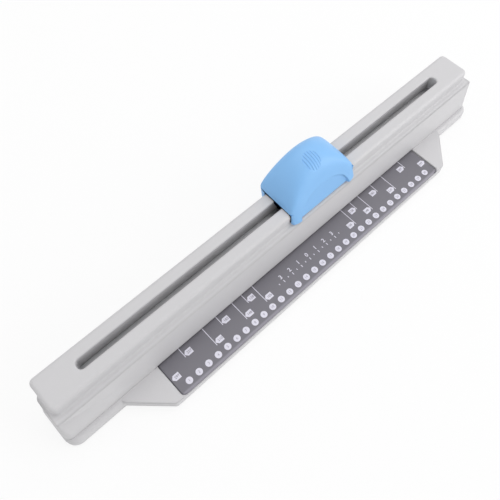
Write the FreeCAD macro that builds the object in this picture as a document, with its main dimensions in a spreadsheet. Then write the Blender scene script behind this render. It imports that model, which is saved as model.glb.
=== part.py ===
import FreeCAD, Part
import math
import os
import re
import sys

import Sketcher
from FreeCAD import Placement, Rotation, Vector

# Thirty-hole punch for loose-leaf paper, in millimetres.
# X runs along the punch, Y from the table towards the back, Z up from the desk.
# X = 0 is the middle of the hole row; the feet stand on Z = 0.

# Driving dimensions: name, value, what it sets

DIMENSIONS = [
    ("hole_count", 30, "holes in the row"),
    ("hole_pitch", 9.5, "distance between holes"),
    ("hole_line", 16.5, "Y of the hole row"),
    ("pin_diameter", 6.0, "punch pin shaft"),
    ("pin_head", 8.4, "punch pin head diameter"),
    ("pin_head_height", 3.0, "punch pin head height"),
    ("pin_bore_play", 0.05, "radial play of a pin in its holes"),
    ("pin_rest_height", 0.4, "pin tip above the paper slot"),
    ("pin_notch_depth", 0.8, "depth of the V ground across a pin's tip"),
    ("spring_gap", 0.3, "spring bore around the pin"),
    ("spring_wire", 0.5, "wall of the spring"),
    ("base_length", 458, "overall length"),
    ("base_front", 38.0, "front edge of the table, in front of Y = 0"),
    ("base_lift", 1.2, "underside of the base above the desk"),
    ("base_depth", 7.0, "underside of the base to the table floor"),
    ("base_wall", 2.0, "outer wall of the base"),
    ("table_deck", 1.5, "thickness of the table floor"),
    ("table_margin", 10.95, "end hole to the wing"),
    ("table_lip", 0.4, "thin front edge of the table"),
    ("table_lip_drop", 1.4, "front edge below the wings"),
    ("table_corner", 3.5, "rounded front corner of the table"),
    ("wing_tip", 6.8, "width of a wing at the front"),
    ("wing_flare", 27.1, "how far a wing widens towards the back"),
    ("wing_round", 3.5, "plan corner of a wing"),
    ("rim_step_front", 4.5, "rim in front of the housing"),
    ("rim_step_back", 3.5, "rim behind the housing"),
    ("rim_step_end", 1.0, "rim beyond the housing's ends"),
    ("rim_corner", 9.0, "plan corner of the rim"),
    ("rim_round", 3.5, "rounded top of the rim"),
    ("rib_pitch", 58.0, "ribs under the table"),
    ("rib_width", 1.4, "thickness of a rib"),
    ("rib_lift", 2.0, "ribs above the rim's underside"),
    ("plate_thickness", 1.2, "printed guide plate"),
    ("plate_gap", 0.3, "play around the guide plate"),
    ("plate_bevel", 0.8, "bevel along the plate's front edge"),
    ("die_thickness", 1.5, "die plate"),
    ("die_ledge", 2.0, "how far the die plate rests on the base"),
    ("paper_gap", 0.6, "height of the paper slot"),
    ("paper_depth", 6.3, "hole centre to the sheet's edge"),
    ("channel_steel", 1.5, "sheet thickness of the punch channel"),
    ("channel_height", 14.4, "height of the punch channel"),
    ("channel_reach_front", 6.8, "channel in front of the hole row"),
    ("channel_reach_back", 6.7, "channel behind the hole row"),
    ("channel_end", 4.25, "channel beyond the end hole"),
    ("channel_foot", 20.25, "channel's foot beyond the end hole"),
    ("die_screw_head", 5.4, "head of a die set screw"),
    ("die_screw", 3.0, "thread of a die set screw"),
    ("die_screw_wall", 1.8, "wall of a die screw's boss"),
    ("die_screw_reach", 15.75, "die set screw beyond the end hole"),
    ("die_screw_clear", 2.4, "die set screw in front of the die plate"),
    ("strip_thickness", 0.5, "press strip"),
    ("strip_width", 8.0, "width of the press strip"),
    ("strip_lap", 8.0, "press strip beyond the slot"),
    ("strip_play", 0.1, "pin heads below the press strip"),
    ("rivet_diameter", 2.4, "strip rivet"),
    ("rivet_head", 4.0, "strip rivet head"),
    ("rivet_head_height", 0.9, "height of a rivet head"),
    ("rivet_bite", 1.4, "length of a rivet above the strip"),
    ("housing_front", 23.9, "housing foot in front of the hole row"),
    ("housing_back", 10.9, "housing foot behind the hole row"),
    ("housing_height", 29.9, "housing foot to its shelf"),
    ("housing_wall", 2.0, "housing wall and roof"),
    ("cavity_step", 15.0, "height of the wide part of the cavity"),
    ("housing_draft", 7.0, "slope of the housing walls in degrees"),
    ("housing_corner", 5.5, "front plan corner of the housing"),
    ("housing_back_corner", 9.0, "back plan corner of the housing"),
    ("throat_height", 0.8, "throat for the sheet under the front wall"),
    ("throat_margin", 2.0, "throat beyond the table"),
    ("cap_front", 14.3, "front of the cap in front of the hole row"),
    ("cap_back", 14.4, "back of the cap behind the hole row"),
    ("cap_inset", 2.9, "cap end inside the shelf's end"),
    ("cap_height", 11.7, "shelf to the top of the cap"),
    ("cap_corner", 4.0, "plan corner of the cap"),
    ("cap_round", 3.0, "rounded top edge of the cap"),
    ("cap_cove", 2.2, "hollow fillet at the foot of the cap"),
    ("cap_roof", 2.2, "thickness of the cap's top"),
    ("neck_back", 7.3, "back of the neck behind the hole row"),
    ("lip_height", 7.2, "height of the cap's back lip"),
    ("lip_wall", 2.2, "thickness of the cap's back lip"),
    ("slot_width", 8.2, "width of the slot"),
    ("slot_margin", 29.9, "cap end to the end of the slot"),
    ("slot_wall", 1.8, "front wall of the slot"),
    ("slot_wall_drop", 10.6, "depth of the slot's front wall"),
    ("slot_round", 1.1, "rounded lips of the slot"),
    ("boss_diameter", 8.0, "screw boss of the housing"),
    ("boss_bore", 2.6, "pilot hole of the boss"),
    ("housing_screw", 2.5, "thread of a housing screw"),
    ("housing_screw_head", 5.0, "head of a housing screw"),
    ("screw_head_height", 1.5, "height of the screw heads"),
    ("screw_bite", 11.0, "length of a screw in its boss"),
    ("housing_screw_inset", 8.4, "housing screws behind the housing's front"),
    ("inner_screw_reach", 23.3, "inner housing screws beyond the table"),
    ("outer_screw_inset", 16.0, "outer housing screws inside the base's ends"),
    ("slider_place", 31.5, "X of the slider in the drawing"),
    ("slider_half", 35.5, "half the slider's width"),
    ("slider_crown", 26.8, "height of the dome over the cap"),
    ("dome_span_power", 1.87, "how far out the dome keeps its height"),
    ("dome_fall_power", 1.4, "how steeply the dome falls at its ends"),
    ("dome_brow_fullness", 0.82, "how square the dome's brow is"),
    ("dome_back_power", 2.15, "how square the dome's back is"),
    ("dome_back_bend", 10.2, "height of the rounded back"),
    ("slider_edge", 2.5, "thickness of the dome's end edges"),
    ("slider_corner", 3.0, "plan corners of the slider"),
    ("slider_crown_back", 10.7, "highest line of the dome behind the hole row"),
    ("slider_play", 0.5, "slider around the cap, front and back"),
    ("slider_lift", 0.6, "slider over the cap"),
    ("slider_foot_lift", 2.0, "slider's feet over the shelf"),
    ("slider_foot_thickness", 5.7, "thickness of the front feet"),
    ("slider_front_slope", 7.9, "front of the slider, bottom to ridge"),
    ("slider_ridge_drop", 18.3, "ridge below the crown"),
    ("slider_back_wall", 6.5, "thickness of the back skirt"),
    ("slider_back_tuck", 2.5, "how far the back skirt draws in"),
    ("slider_back_drop", 10.0, "cap top to the back skirt's toe"),
    ("scoop_depth", 2.2, "depth of the thumb scoop at its foot"),
    ("scoop_half", 27.5, "half width of the arched scoop"),
    ("toe_reach", 2.0, "hook under the cap's lip"),
    ("toe_play", 0.5, "hook below the lip"),
    ("toe_height", 2.0, "height of the hook"),
    ("shell_wall", 2.4, "wall of the slider shell"),
    ("shell_room", 12.0, "room for the roller inside the slider shell"),
    ("shell_room_play", 1.0, "room around the carriage inside the shell"),
    ("shell_boss", 7.0, "screw boss in the slider shell"),
    ("grip_diameter", 15.0, "ribbed round grip"),
    ("grip_rib_pitch", 2.4, "distance between grip ribs"),
    ("grip_rib_width", 1.1, "width of a grip rib"),
    ("grip_depth", 0.5, "depth of the grooves between the grip ribs"),
    ("roller_diameter", 16.0, "press roller"),
    ("roller_width", 3.8, "width of the press roller"),
    ("roller_play", 0.3, "roller over the strip and between the cheeks"),
    ("axle_diameter", 4.0, "roller axle"),
    ("axle_play", 0.06, "radial play of the roller on its axle"),
    ("axle_seat", 0.02, "radial play of the axle in the carriage"),
    ("cheek_play", 0.3, "carriage in the slot"),
    ("carriage_lift", 0.1, "carriage above the roller's lowest line"),
    ("block_height", 17.4, "height of the carriage blocks"),
    ("block_length", 7.0, "length of a carriage block"),
    ("tongue_half", 14.0, "half length of the carriage's tongue"),
    ("tongue_reach", 4.6, "tongue under the slot's front wall and beyond"),
    ("shell_screw", 2.5, "thread of a carriage screw"),
    ("shell_screw_head", 4.6, "head of a carriage screw"),
    ("shell_screw_seat", 6.0, "seat of a carriage screw below the blocks' top"),
    ("shell_screw_bite", 7.0, "length of a carriage screw in the shell"),
    ("tray_width", 14.0, "chip drawer without its flanges"),
    ("tray_wall", 1.0, "rails and back of the chip drawer"),
    ("tray_floor", 0.8, "floor strip of the chip drawer"),
    ("tray_flange", 1.5, "flange that hangs on the base"),
    ("tray_flange_thickness", 0.8, "thickness of the flange"),
    ("tray_play", 0.3, "play around the chip drawer"),
    ("tray_top_play", 0.4, "drawer below the die plate"),
    ("tray_ledge", 1.2, "height of the ledges that carry the drawer"),
    ("tray_end_inset", 0.6, "drawer front inside the rim's end"),
    ("tray_front_wall", 2.4, "thickness of the drawer's front"),
    ("tray_tail", 8.25, "drawer beyond the far end hole"),
    ("foot_width", 4.0, "rubber strip feet"),
    ("foot_length", 36.0, "length of a strip foot"),
    ("foot_recess", 0.8, "how deep a foot sits in the base"),
    ("foot_play", 0.1, "play of a foot in its recess"),
    ("foot_front_inset", 36.7, "front feet inside the table's ends"),
    ("foot_back_inset", 49.0, "back feet inside the base's ends"),
    ("foot_inset", 2.6, "front feet inside the table's edge"),
]

document = FreeCAD.newDocument("ThirtyHolePunch")
sheet = document.addObject("Spreadsheet::Sheet", "Sizes")
ALIAS = re.compile(r"\b([a-z]+(?:_[a-z]+)+)\b")


def fill_sheet():
    for row, (alias, number, note) in enumerate(DIMENSIONS, start=1):
        sheet.set("A%d" % row, note)
        sheet.set("B%d" % row, str(number))
        sheet.setAlias("B%d" % row, alias)
    document.recompute()


# Places that several pieces share, written in terms of the sheet

PLATE_Z = "(base_lift + base_depth + plate_thickness)"
TABLE_Z = "(base_lift + base_depth)"
BASE_Z = "(%s + paper_gap)" % PLATE_Z
DIE_Z = "(%s - die_thickness)" % PLATE_Z
SHELF_Z = "(%s + housing_height)" % BASE_Z
ROOF_Z = "(%s - housing_wall)" % SHELF_Z
CAP_Z = "(%s + cap_height)" % SHELF_Z
STRIP_Z = "(%s - strip_thickness)" % ROOF_Z
HEAD_Z = "(%s - strip_play)" % STRIP_Z
TIP_Z = "(%s + pin_rest_height)" % BASE_Z
CHANNEL_Z = "(%s + channel_height)" % BASE_Z
ROW_HALF = "((hole_count - 1) * hole_pitch / 2)"
TABLE_HALF = "(%s + table_margin)" % ROW_HALF
BASE_HALF = "(base_length / 2)"
FOOT_HALF = "(%s - rim_step_end)" % BASE_HALF
CAP_HALF = "(%s - housing_height * tan(housing_draft) - cap_inset)" % FOOT_HALF
SLOT_HALF = "(%s - slot_margin)" % CAP_HALF
RIM_FRONT = "(hole_line - housing_front - rim_step_front)"
RIM_BACK = "(hole_line + housing_back + rim_step_back)"
WING_INNER = "(%s + wing_tip)" % TABLE_HALF
WING_OUTER = "(%s + wing_flare)" % WING_INNER
FLANGE_HALF = "(tray_width / 2 + tray_flange)"
BAY_HALF = "(%s + tray_play)" % FLANGE_HALF
DIE_HALF_WIDTH = "(%s + die_ledge)" % BAY_HALF
LEDGE_Z = "(%s - tray_top_play - tray_flange_thickness - tray_play)" % DIE_Z
CAP_FRONT = "(hole_line - cap_front)"
CAP_BACK = "(hole_line + cap_back)"
SLOT_FRONT = "(hole_line - slot_width / 2)"
SLOT_BACK = "(hole_line + slot_width / 2)"
SLOT_WALL_Z = "(%s - slot_wall_drop)" % CAP_Z
LIP_Z = "(%s - lip_height)" % CAP_Z
SLIDER_Z = "(%s + slider_lift)" % CAP_Z
CROWN_Z = "(%s + slider_crown)" % SLIDER_Z
FOOT_Z = "(%s + slider_foot_lift)" % SHELF_Z
RIDGE_Z = "(%s - slider_ridge_drop)" % CROWN_Z
SLIDER_INNER_FRONT = "(%s - slider_play)" % CAP_FRONT
SLIDER_INNER_BACK = "(%s + slider_play)" % CAP_BACK
SLIDER_FRONT = "(%s - slider_foot_thickness)" % SLIDER_INNER_FRONT
SLIDER_BACK = "(%s + slider_back_wall)" % SLIDER_INNER_BACK
SKIRT_Z = "(%s - slider_back_drop)" % CAP_Z
ROLLER_BOTTOM = "(%s + roller_play)" % ROOF_Z
ROLLER_Z = "(%s + roller_diameter / 2)" % ROLLER_BOTTOM
CHEEK_HALF = "(slot_width / 2 - cheek_play)"
CARRIAGE_Z = "(%s + carriage_lift)" % ROLLER_BOTTOM
BLOCK_Z = "(%s + block_height)" % CARRIAGE_Z
BLOCK_X = "(roller_diameter / 2 + roller_play + block_length / 2)"
SCREW_SEAT_Z = "(%s - shell_screw_seat)" % BLOCK_Z
HOUSING_SCREW_Y = "(hole_line - housing_front + housing_screw_inset)"
INNER_SCREW_X = "(%s + inner_screw_reach)" % TABLE_HALF
OUTER_SCREW_X = "(%s - outer_screw_inset)" % BASE_HALF
DIE_SCREW_X = "(%s + die_screw_reach)" % ROW_HALF
DIE_SCREW_Y = "(hole_line - %s - die_ledge / 2 - die_screw_clear)" % BAY_HALF
FRONT_FOOT_X = "(%s - foot_front_inset)" % TABLE_HALF
BACK_FOOT_X = "(%s - foot_back_inset)" % BASE_HALF
FRONT_FOOT_Y = "(foot_inset + foot_width / 2 - base_front)"
BACK_FOOT_Y = "(%s - base_wall / 2 - foot_width / 2)" % RIM_BACK
TRAY_TAIL = "(-(%s + tray_tail))" % ROW_HALF
TRAY_NOSE = "(%s - tray_end_inset)" % BASE_HALF
TRAY_END = "(%s - tray_front_wall)" % TRAY_NOSE
TRAY_LOW = "(base_lift + tray_play)"
TRAY_DECK = "(%s + tray_floor)" % TRAY_LOW
TRAY_TOP = "(%s - tray_top_play)" % DIE_Z


def bound(text):
    return ALIAS.sub(r"Sizes.\1", str(text))


def value(text):
    return float(sheet.evalExpression(bound(text)))


# Sketches and features

def new_body(label):
    body = document.addObject("PartDesign::Body", label)
    body.Label = label
    return body


def origin_plane(body, role):
    return next(item for item in body.Origin.OriginFeatures if item.Role == role)


def new_sketch(body, name, role, offset):
    sketch = body.newObject("Sketcher::SketchObject", name)
    sketch.AttachmentSupport = (origin_plane(body, role), [""])
    sketch.MapMode = "FlatFace"
    sketch.setExpression("AttachmentOffset.Base.z", bound(offset))
    return sketch


def fix_point(sketch, index, end, x_text, y_text):
    for kind, text in (("DistanceX", x_text), ("DistanceY", y_text)):
        number = sketch.addConstraint(Sketcher.Constraint(kind, index, end, value(text)))
        sketch.setExpression("Constraints[%d]" % number, bound(text))


def add_polygon(sketch, corners):
    points = [Vector(value(x), value(y), 0) for x, y in corners]
    count = len(points)
    first = sketch.GeometryCount
    sides = [Part.LineSegment(points[i], points[(i + 1) % count]) for i in range(count)]
    sketch.addGeometry(sides, False)
    for i in range(count):
        after = first + (i + 1) % count
        sketch.addConstraint(Sketcher.Constraint("Coincident", first + i, 2, after, 1))
    for i, (x, y) in enumerate(corners):
        fix_point(sketch, first + i, 1, x, y)


def add_rectangle(sketch, x_low, x_high, y_low, y_high):
    add_polygon(sketch, [(x_low, y_low), (x_high, y_low), (x_high, y_high), (x_low, y_high)])


def add_rounded_rectangle(sketch, x_low, x_high, y_low, y_high, radius_text, back_radius=None):
    left, right, low, high = value(x_low), value(x_high), value(y_low), value(y_high)
    texts = [radius_text, back_radius or radius_text, back_radius or radius_text, radius_text]
    radii = [value(text) for text in texts]
    corners = [(right, low, -1, 1), (right, high, -1, -1), (left, high, 1, -1), (left, low, 1, 1)]
    centres = [Vector(x + dx * size, y + dy * size, 0) for (x, y, dx, dy), size in zip(corners, radii)]
    quarter = math.pi / 2
    up = Vector(0, 0, 1)
    for number, (centre, radius) in enumerate(zip(centres, radii)):
        start = (number - 1) * quarter
        out = Vector(math.cos(start), math.sin(start), 0)
        begin = centres[number - 1] + out * radii[number - 1]
        sketch.addGeometry(Part.LineSegment(begin, centre + out * radius), False)
        sketch.addGeometry(Part.ArcOfCircle(Part.Circle(centre, up, radius), start, start + quarter), False)
    sides = (("Horizontal", "DistanceY", y_low), ("Vertical", "DistanceX", x_high),
             ("Horizontal", "DistanceY", y_high), ("Vertical", "DistanceX", x_low))
    for number, (lie, kind, text) in enumerate(sides):
        line, arc = 2 * number, 2 * number + 1
        sketch.addConstraint(Sketcher.Constraint("Tangent", line, 2, arc, 1))
        sketch.addConstraint(Sketcher.Constraint("Tangent", arc, 2, (line + 2) % 8, 1))
        sketch.addConstraint(Sketcher.Constraint(lie, line))
        place = sketch.addConstraint(Sketcher.Constraint(kind, line, 1, value(text)))
        sketch.setExpression("Constraints[%d]" % place, bound(text))
        bend = sketch.addConstraint(Sketcher.Constraint("Radius", arc, radii[number]))
        sketch.setExpression("Constraints[%d]" % bend, bound(texts[number]))


def add_circle(sketch, x_text, y_text, diameter):
    circle = Part.Circle(Vector(value(x_text), value(y_text), 0), Vector(0, 0, 1), value(diameter) / 2)
    index = sketch.addGeometry(circle, False)
    fix_point(sketch, index, 3, x_text, y_text)
    number = sketch.addConstraint(Sketcher.Constraint("Diameter", index, value(diameter)))
    sketch.setExpression("Constraints[%d]" % number, bound(diameter))


def polygon_sketch(body, name, role, offset, corners):
    sketch = new_sketch(body, name, role, offset)
    add_polygon(sketch, corners)
    return sketch


def box_sketch(body, name, role, offset, x_low, x_high, y_low, y_high):
    sketch = new_sketch(body, name, role, offset)
    add_rectangle(sketch, x_low, x_high, y_low, y_high)
    return sketch


def settle(feature):
    document.recompute()
    if "Invalid" in feature.State or "Error" in feature.State:
        raise ValueError("%s failed: %s" % (feature.Name, feature.getStatusString()))


def extrude(body, kind, name, sketch, length, symmetric=False, reverse=False):
    feature = body.newObject("PartDesign::" + kind, name)
    feature.Profile = sketch
    feature.setExpression("Length", bound(length))
    feature.Reversed = reverse
    if symmetric:
        feature.SideType = "Symmetric"
    sketch.Visibility = False
    settle(feature)
    return feature


def pad(body, name, sketch, length, **options):
    return extrude(body, "Pad", name, sketch, length, **options)


def pocket(body, name, sketch, length, **options):
    before = body.Shape.Volume
    feature = extrude(body, "Pocket", name, sketch, length, **options)
    if not feature.Shape.Volume < before - 1e-6:
        raise ValueError("%s cuts nothing" % name)
    return feature


def cut_up(body, name, sketch, length, **options):
    return pocket(body, name, sketch, length, reverse=True, **options)


def edge_names(shape, wanted):
    return ["Edge%d" % number for number, edge in enumerate(shape.Edges, start=1) if wanted(edge)]


def dress(body, kind, name, size_name, size, wanted):
    base = body.Tip
    names = edge_names(base.Shape, wanted)
    if not names:
        raise ValueError("%s finds no edge" % name)
    feature = body.newObject("PartDesign::" + kind, name)
    feature.Base = (base, names)
    feature.setExpression(size_name, bound(size))
    settle(feature)
    return feature


def fillet(body, name, radius, wanted):
    return dress(body, "Fillet", name, "Radius", radius, wanted)


def chamfer(body, name, size, wanted):
    return dress(body, "Chamfer", name, "Size", size, wanted)


def spread(edge, axis):
    low = getattr(edge.BoundBox, axis + "Min")
    high = getattr(edge.BoundBox, axis + "Max")
    return high - low


def near(a, b, limit=0.05):
    return abs(a - b) < limit


def upright_at(x_text, y_text, limit=0.05):
    x, y = value(x_text), value(y_text)

    def wanted(edge):
        low = min(edge.Vertexes, key=lambda vertex: vertex.Z)
        return spread(edge, "Z") > 0.5 and near(abs(low.X), x, limit) and near(low.Y, y, limit)
    return wanted


def lengthwise_at(y_text, z_text):
    y, z = value(y_text), value(z_text)

    def wanted(edge):
        box = edge.BoundBox
        flat = spread(edge, "Y") < 0.01 and spread(edge, "Z") < 0.01
        return flat and spread(edge, "X") > 1 and near(box.YMin, y) and near(box.ZMin, z)
    return wanted


def level_at(z_text, inside=None):
    z = value(z_text)

    def wanted(edge):
        level = near(edge.BoundBox.ZMin, z) and spread(edge, "Z") < 0.01
        return level and (inside is None or inside(edge))
    return wanted


# Base

def base_shell():
    body = new_body("base_shell")
    rim = new_sketch(body, "RimPlan", "XY_Plane", "base_lift")
    add_rounded_rectangle(rim, "-" + BASE_HALF, BASE_HALF, RIM_FRONT, RIM_BACK, "rim_corner")
    pad(body, "RimBlock", rim, "%s - base_lift" % BASE_Z)
    fillet(body, "RimRound", "rim_round", level_at(BASE_Z))
    apron_back = "(%s + 2 * rim_round)" % RIM_FRONT
    apron = polygon_sketch(body, "ApronPlan", "XY_Plane", "base_lift", [
        ("-" + WING_OUTER, apron_back),
        ("-" + WING_OUTER, RIM_FRONT),
        ("-" + WING_INNER, "-base_front"),
        (WING_INNER, "-base_front"),
        (WING_OUTER, RIM_FRONT),
        (WING_OUTER, apron_back),
    ])
    pad(body, "ApronBlock", apron, "%s - base_lift" % BASE_Z)
    fillet(body, "WingTips", "wing_round", upright_at(WING_INNER, "-base_front"))
    table_front = "(table_lip - base_front)"
    die_front = "(hole_line - %s)" % DIE_HALF_WIDTH
    die_back = "(hole_line + %s)" % DIE_HALF_WIDTH
    lip = box_sketch(body, "FrontLip", "XY_Plane", "%s - table_lip_drop" % BASE_Z,
                     "table_corner + 0.5 - " + TABLE_HALF, TABLE_HALF + " - table_corner - 0.5",
                     "-base_front - 1", "%s + 5" % table_front)
    cut_up(body, "FrontLipDrop", lip, "table_lip_drop + 1")
    table = new_sketch(body, "Table", "XY_Plane", TABLE_Z)
    add_rounded_rectangle(table, "-" + TABLE_HALF, TABLE_HALF, table_front, die_front + " + 6",
                          "table_corner")
    cut_up(body, "TableRecess", table, "%s - %s + 1" % (BASE_Z, TABLE_Z))
    seat = box_sketch(body, "DieSeat", "XY_Plane", DIE_Z,
                      "-" + TABLE_HALF, TABLE_HALF, die_front, die_back)
    cut_up(body, "DieSeatRecess", seat, "%s - %s + 1" % (BASE_Z, DIE_Z))
    cut_hollows(body, die_front)
    cut_drawer_bay(body)
    add_table_ribs(body, die_front)
    add_foot_pads(body)
    cut_base_screw_holes(body)
    return body


def cut_hollows(body, die_front):
    front = box_sketch(body, "TableHollow", "XY_Plane", "0",
                       "base_wall - " + TABLE_HALF, TABLE_HALF + " - base_wall",
                       "base_wall - base_front", die_front)
    cut_up(body, "TableHollowCut", front, "%s - table_deck" % TABLE_Z)
    for side, sign in (("Left", "-"), ("Right", "")):
        back = "%s - base_wall" % RIM_BACK if sign else "hole_line - %s - base_wall" % BAY_HALF
        inner = "%s(%s + 2 * base_wall)" % (sign, TABLE_HALF)
        outer = "%s(%s - base_wall)" % (sign, BASE_HALF)
        end = new_sketch(body, side + "Hollow", "XY_Plane", "0")
        ends = (outer, inner) if sign else (inner, outer)
        add_rounded_rectangle(end, ends[0], ends[1], "%s + base_wall" % RIM_FRONT, back,
                              "rim_corner - base_wall", None if sign else "base_wall")
        cut_up(body, side + "HollowCut", end, "%s - base_wall" % BASE_Z)


def cut_drawer_bay(body):
    inner = "-(%s + base_wall / 2)" % TABLE_HALF
    outer = "%s + 1" % BASE_HALF
    channel = box_sketch(body, "DrawerChannel", "XY_Plane", "0", inner, outer,
                         "hole_line - tray_width / 2 - tray_play", "hole_line + tray_width / 2 + tray_play")
    cut_up(body, "DrawerChannelCut", channel, DIE_Z)
    wide = box_sketch(body, "DrawerBay", "XY_Plane", LEDGE_Z, inner, outer,
                      "hole_line - " + BAY_HALF, "hole_line + " + BAY_HALF)
    cut_up(body, "DrawerBayCut", wide, "%s - %s" % (DIE_Z, LEDGE_Z))
    mouth = box_sketch(body, "DrawerMouth", "XY_Plane", "0",
                       "%s - tray_end_inset - tray_front_wall - tray_play" % BASE_HALF, outer,
                       "hole_line - " + BAY_HALF, "hole_line + " + BAY_HALF)
    cut_up(body, "DrawerMouthCut", mouth, DIE_Z)


def add_table_ribs(body, die_front):
    rib = box_sketch(body, "TableRib", "XY_Plane", "base_lift + rib_lift", "-rib_width / 2", "rib_width / 2",
                     "base_wall / 2 - base_front", "%s + base_wall / 2" % die_front)
    pad(body, "TableRibMiddle", rib, "%s - table_deck / 2 - base_lift - rib_lift" % TABLE_Z)
    for side in (False, True):
        pattern = body.newObject("PartDesign::LinearPattern", "TableRibs")
        pattern.Originals = [document.getObject("TableRibMiddle")]
        axis = next(item for item in body.Origin.OriginFeatures if item.Role == "X_Axis")
        pattern.Direction = (axis, [""])
        pattern.Reversed = side
        pattern.setExpression("Length", bound("2 * rib_pitch"))
        pattern.Occurrences = 3
        body.Tip = pattern
        document.recompute()


def foot_places():
    front = [("-" + FRONT_FOOT_X, FRONT_FOOT_Y), ("0", FRONT_FOOT_Y), (FRONT_FOOT_X, FRONT_FOOT_Y)]
    return front + [("-" + BACK_FOOT_X, BACK_FOOT_Y), (BACK_FOOT_X, BACK_FOOT_Y)]


def foot_rectangle(sketch, place, margin):
    x_text, y_text = place
    add_rectangle(sketch,
                  "%s - foot_length / 2 - %s" % (x_text, margin),
                  "%s + foot_length / 2 + %s" % (x_text, margin),
                  "%s - foot_width / 2 - %s" % (y_text, margin),
                  "%s + foot_width / 2 + %s" % (y_text, margin))


def add_foot_pads(body):
    pads = new_sketch(body, "FootPads", "XY_Plane", "base_lift")
    for place in foot_places()[:3]:
        foot_rectangle(pads, place, "1")
    pad(body, "FootPadBlocks", pads, "%s - table_deck / 2 - base_lift" % TABLE_Z)
    recess = new_sketch(body, "FootRecesses", "XY_Plane", "base_lift - 1")
    for place in foot_places():
        foot_rectangle(recess, place, "0")
    cut_up(body, "FootRecessCut", recess, "foot_recess + 1")


def housing_screw_places():
    places = []
    for x_text in (INNER_SCREW_X, OUTER_SCREW_X):
        places += [("-" + x_text, HOUSING_SCREW_Y), (x_text, HOUSING_SCREW_Y)]
    return places


def die_screw_places():
    return [("-" + DIE_SCREW_X, DIE_SCREW_Y), (DIE_SCREW_X, DIE_SCREW_Y)]


def circles(body, name, offset, places, diameter):
    sketch = new_sketch(body, name, "XY_Plane", offset)
    for x_text, y_text in places:
        add_circle(sketch, x_text, y_text, diameter)
    return sketch


def cut_base_screw_holes(body):
    housing = circles(body, "HousingScrewHoles", "0", housing_screw_places(), "housing_screw + 0.5")
    cut_up(body, "HousingScrewHolesCut", housing, "%s + 1" % BASE_Z)
    bosses = circles(body, "DieScrewBosses", "base_lift + rib_lift / 2", die_screw_places(),
                     "die_screw + 2 * die_screw_wall")
    pad(body, "DieScrewBossPads", bosses, "%s - base_lift - rib_lift / 2 - base_wall / 4" % BASE_Z)
    pilots = circles(body, "DieScrewPilots", "base_lift + rib_lift", die_screw_places(), "die_screw + 0.1")
    cut_up(body, "DieScrewPilotsCut", pilots, "%s - base_lift" % BASE_Z)


def rubber_feet():
    pieces = []
    for x_text, y_text in foot_places():
        length, width = value("foot_length - 2 * foot_play"), value("foot_width - 2 * foot_play")
        block = Part.makeBox(length, width, value("base_lift + foot_recess"))
        block.translate(Vector(value(x_text) - length / 2, value(y_text) - width / 2, 0))
        upright = [edge for edge in block.Edges if spread(edge, "Z") > 0.5]
        pieces.append(block.makeFillet(width * 0.45, upright))
    return shape_object("rubber_feet", Part.makeCompound(pieces))


def shape_object(label, shape, place=None):
    item = document.addObject("Part::Feature", label)
    item.Label = label
    item.Shape = shape
    item.Placement = place or Placement()
    return item


# Plates that the sheet of paper meets

def guide_plate():
    body = new_body("guide_plate")
    back = "hole_line - %s - plate_gap / 2" % DIE_HALF_WIDTH
    front = "table_lip + plate_gap - base_front"
    side = "(%s - plate_gap)" % TABLE_HALF
    plan = box_sketch(body, "PlatePlan", "XY_Plane", TABLE_Z, "-" + side, side, front, back)
    pad(body, "Plate", plan, "plate_thickness")
    fillet(body, "PlateCorners", "table_corner - plate_gap", upright_at(side, front))
    chamfer(body, "PlateBevel", "plate_bevel", lengthwise_at(front, PLATE_Z))
    return body


def row_of_holes(body, name, offset, depth):
    start = circles(body, name, offset, [("-" + ROW_HALF, "hole_line")], "pin_diameter + 2 * pin_bore_play")
    hole = cut_up(body, name + "First", start, depth)
    pattern = body.newObject("PartDesign::LinearPattern", name + "Row")
    pattern.Originals = [hole]
    axis = next(item for item in body.Origin.OriginFeatures if item.Role == "X_Axis")
    pattern.Direction = (axis, [""])
    pattern.setExpression("Length", bound("2 * " + ROW_HALF))
    pattern.setExpression("Occurrences", bound("hole_count"))
    body.Tip = pattern
    document.recompute()


def die_plate():
    body = new_body("die_plate")
    side = "(%s - plate_gap)" % TABLE_HALF
    plan = box_sketch(body, "DiePlan", "XY_Plane", DIE_Z, "-" + side, side,
                      "hole_line - %s + plate_gap / 2" % DIE_HALF_WIDTH,
                      "hole_line + %s - plate_gap" % DIE_HALF_WIDTH)
    pad(body, "Die", plan, "die_thickness")
    row_of_holes(body, "DieHoles", "%s - 1" % DIE_Z, "die_thickness + 2")
    return body


def paper_stop():
    body = new_body("paper_stop")
    side = "(%s - plate_gap)" % TABLE_HALF
    plan = box_sketch(body, "StopPlan", "XY_Plane", PLATE_Z, "-" + side, side,
                      "hole_line + paper_depth", "hole_line + %s - plate_gap" % DIE_HALF_WIDTH)
    pad(body, "Stop", plan, "paper_gap")
    return body


# Punch unit

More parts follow.
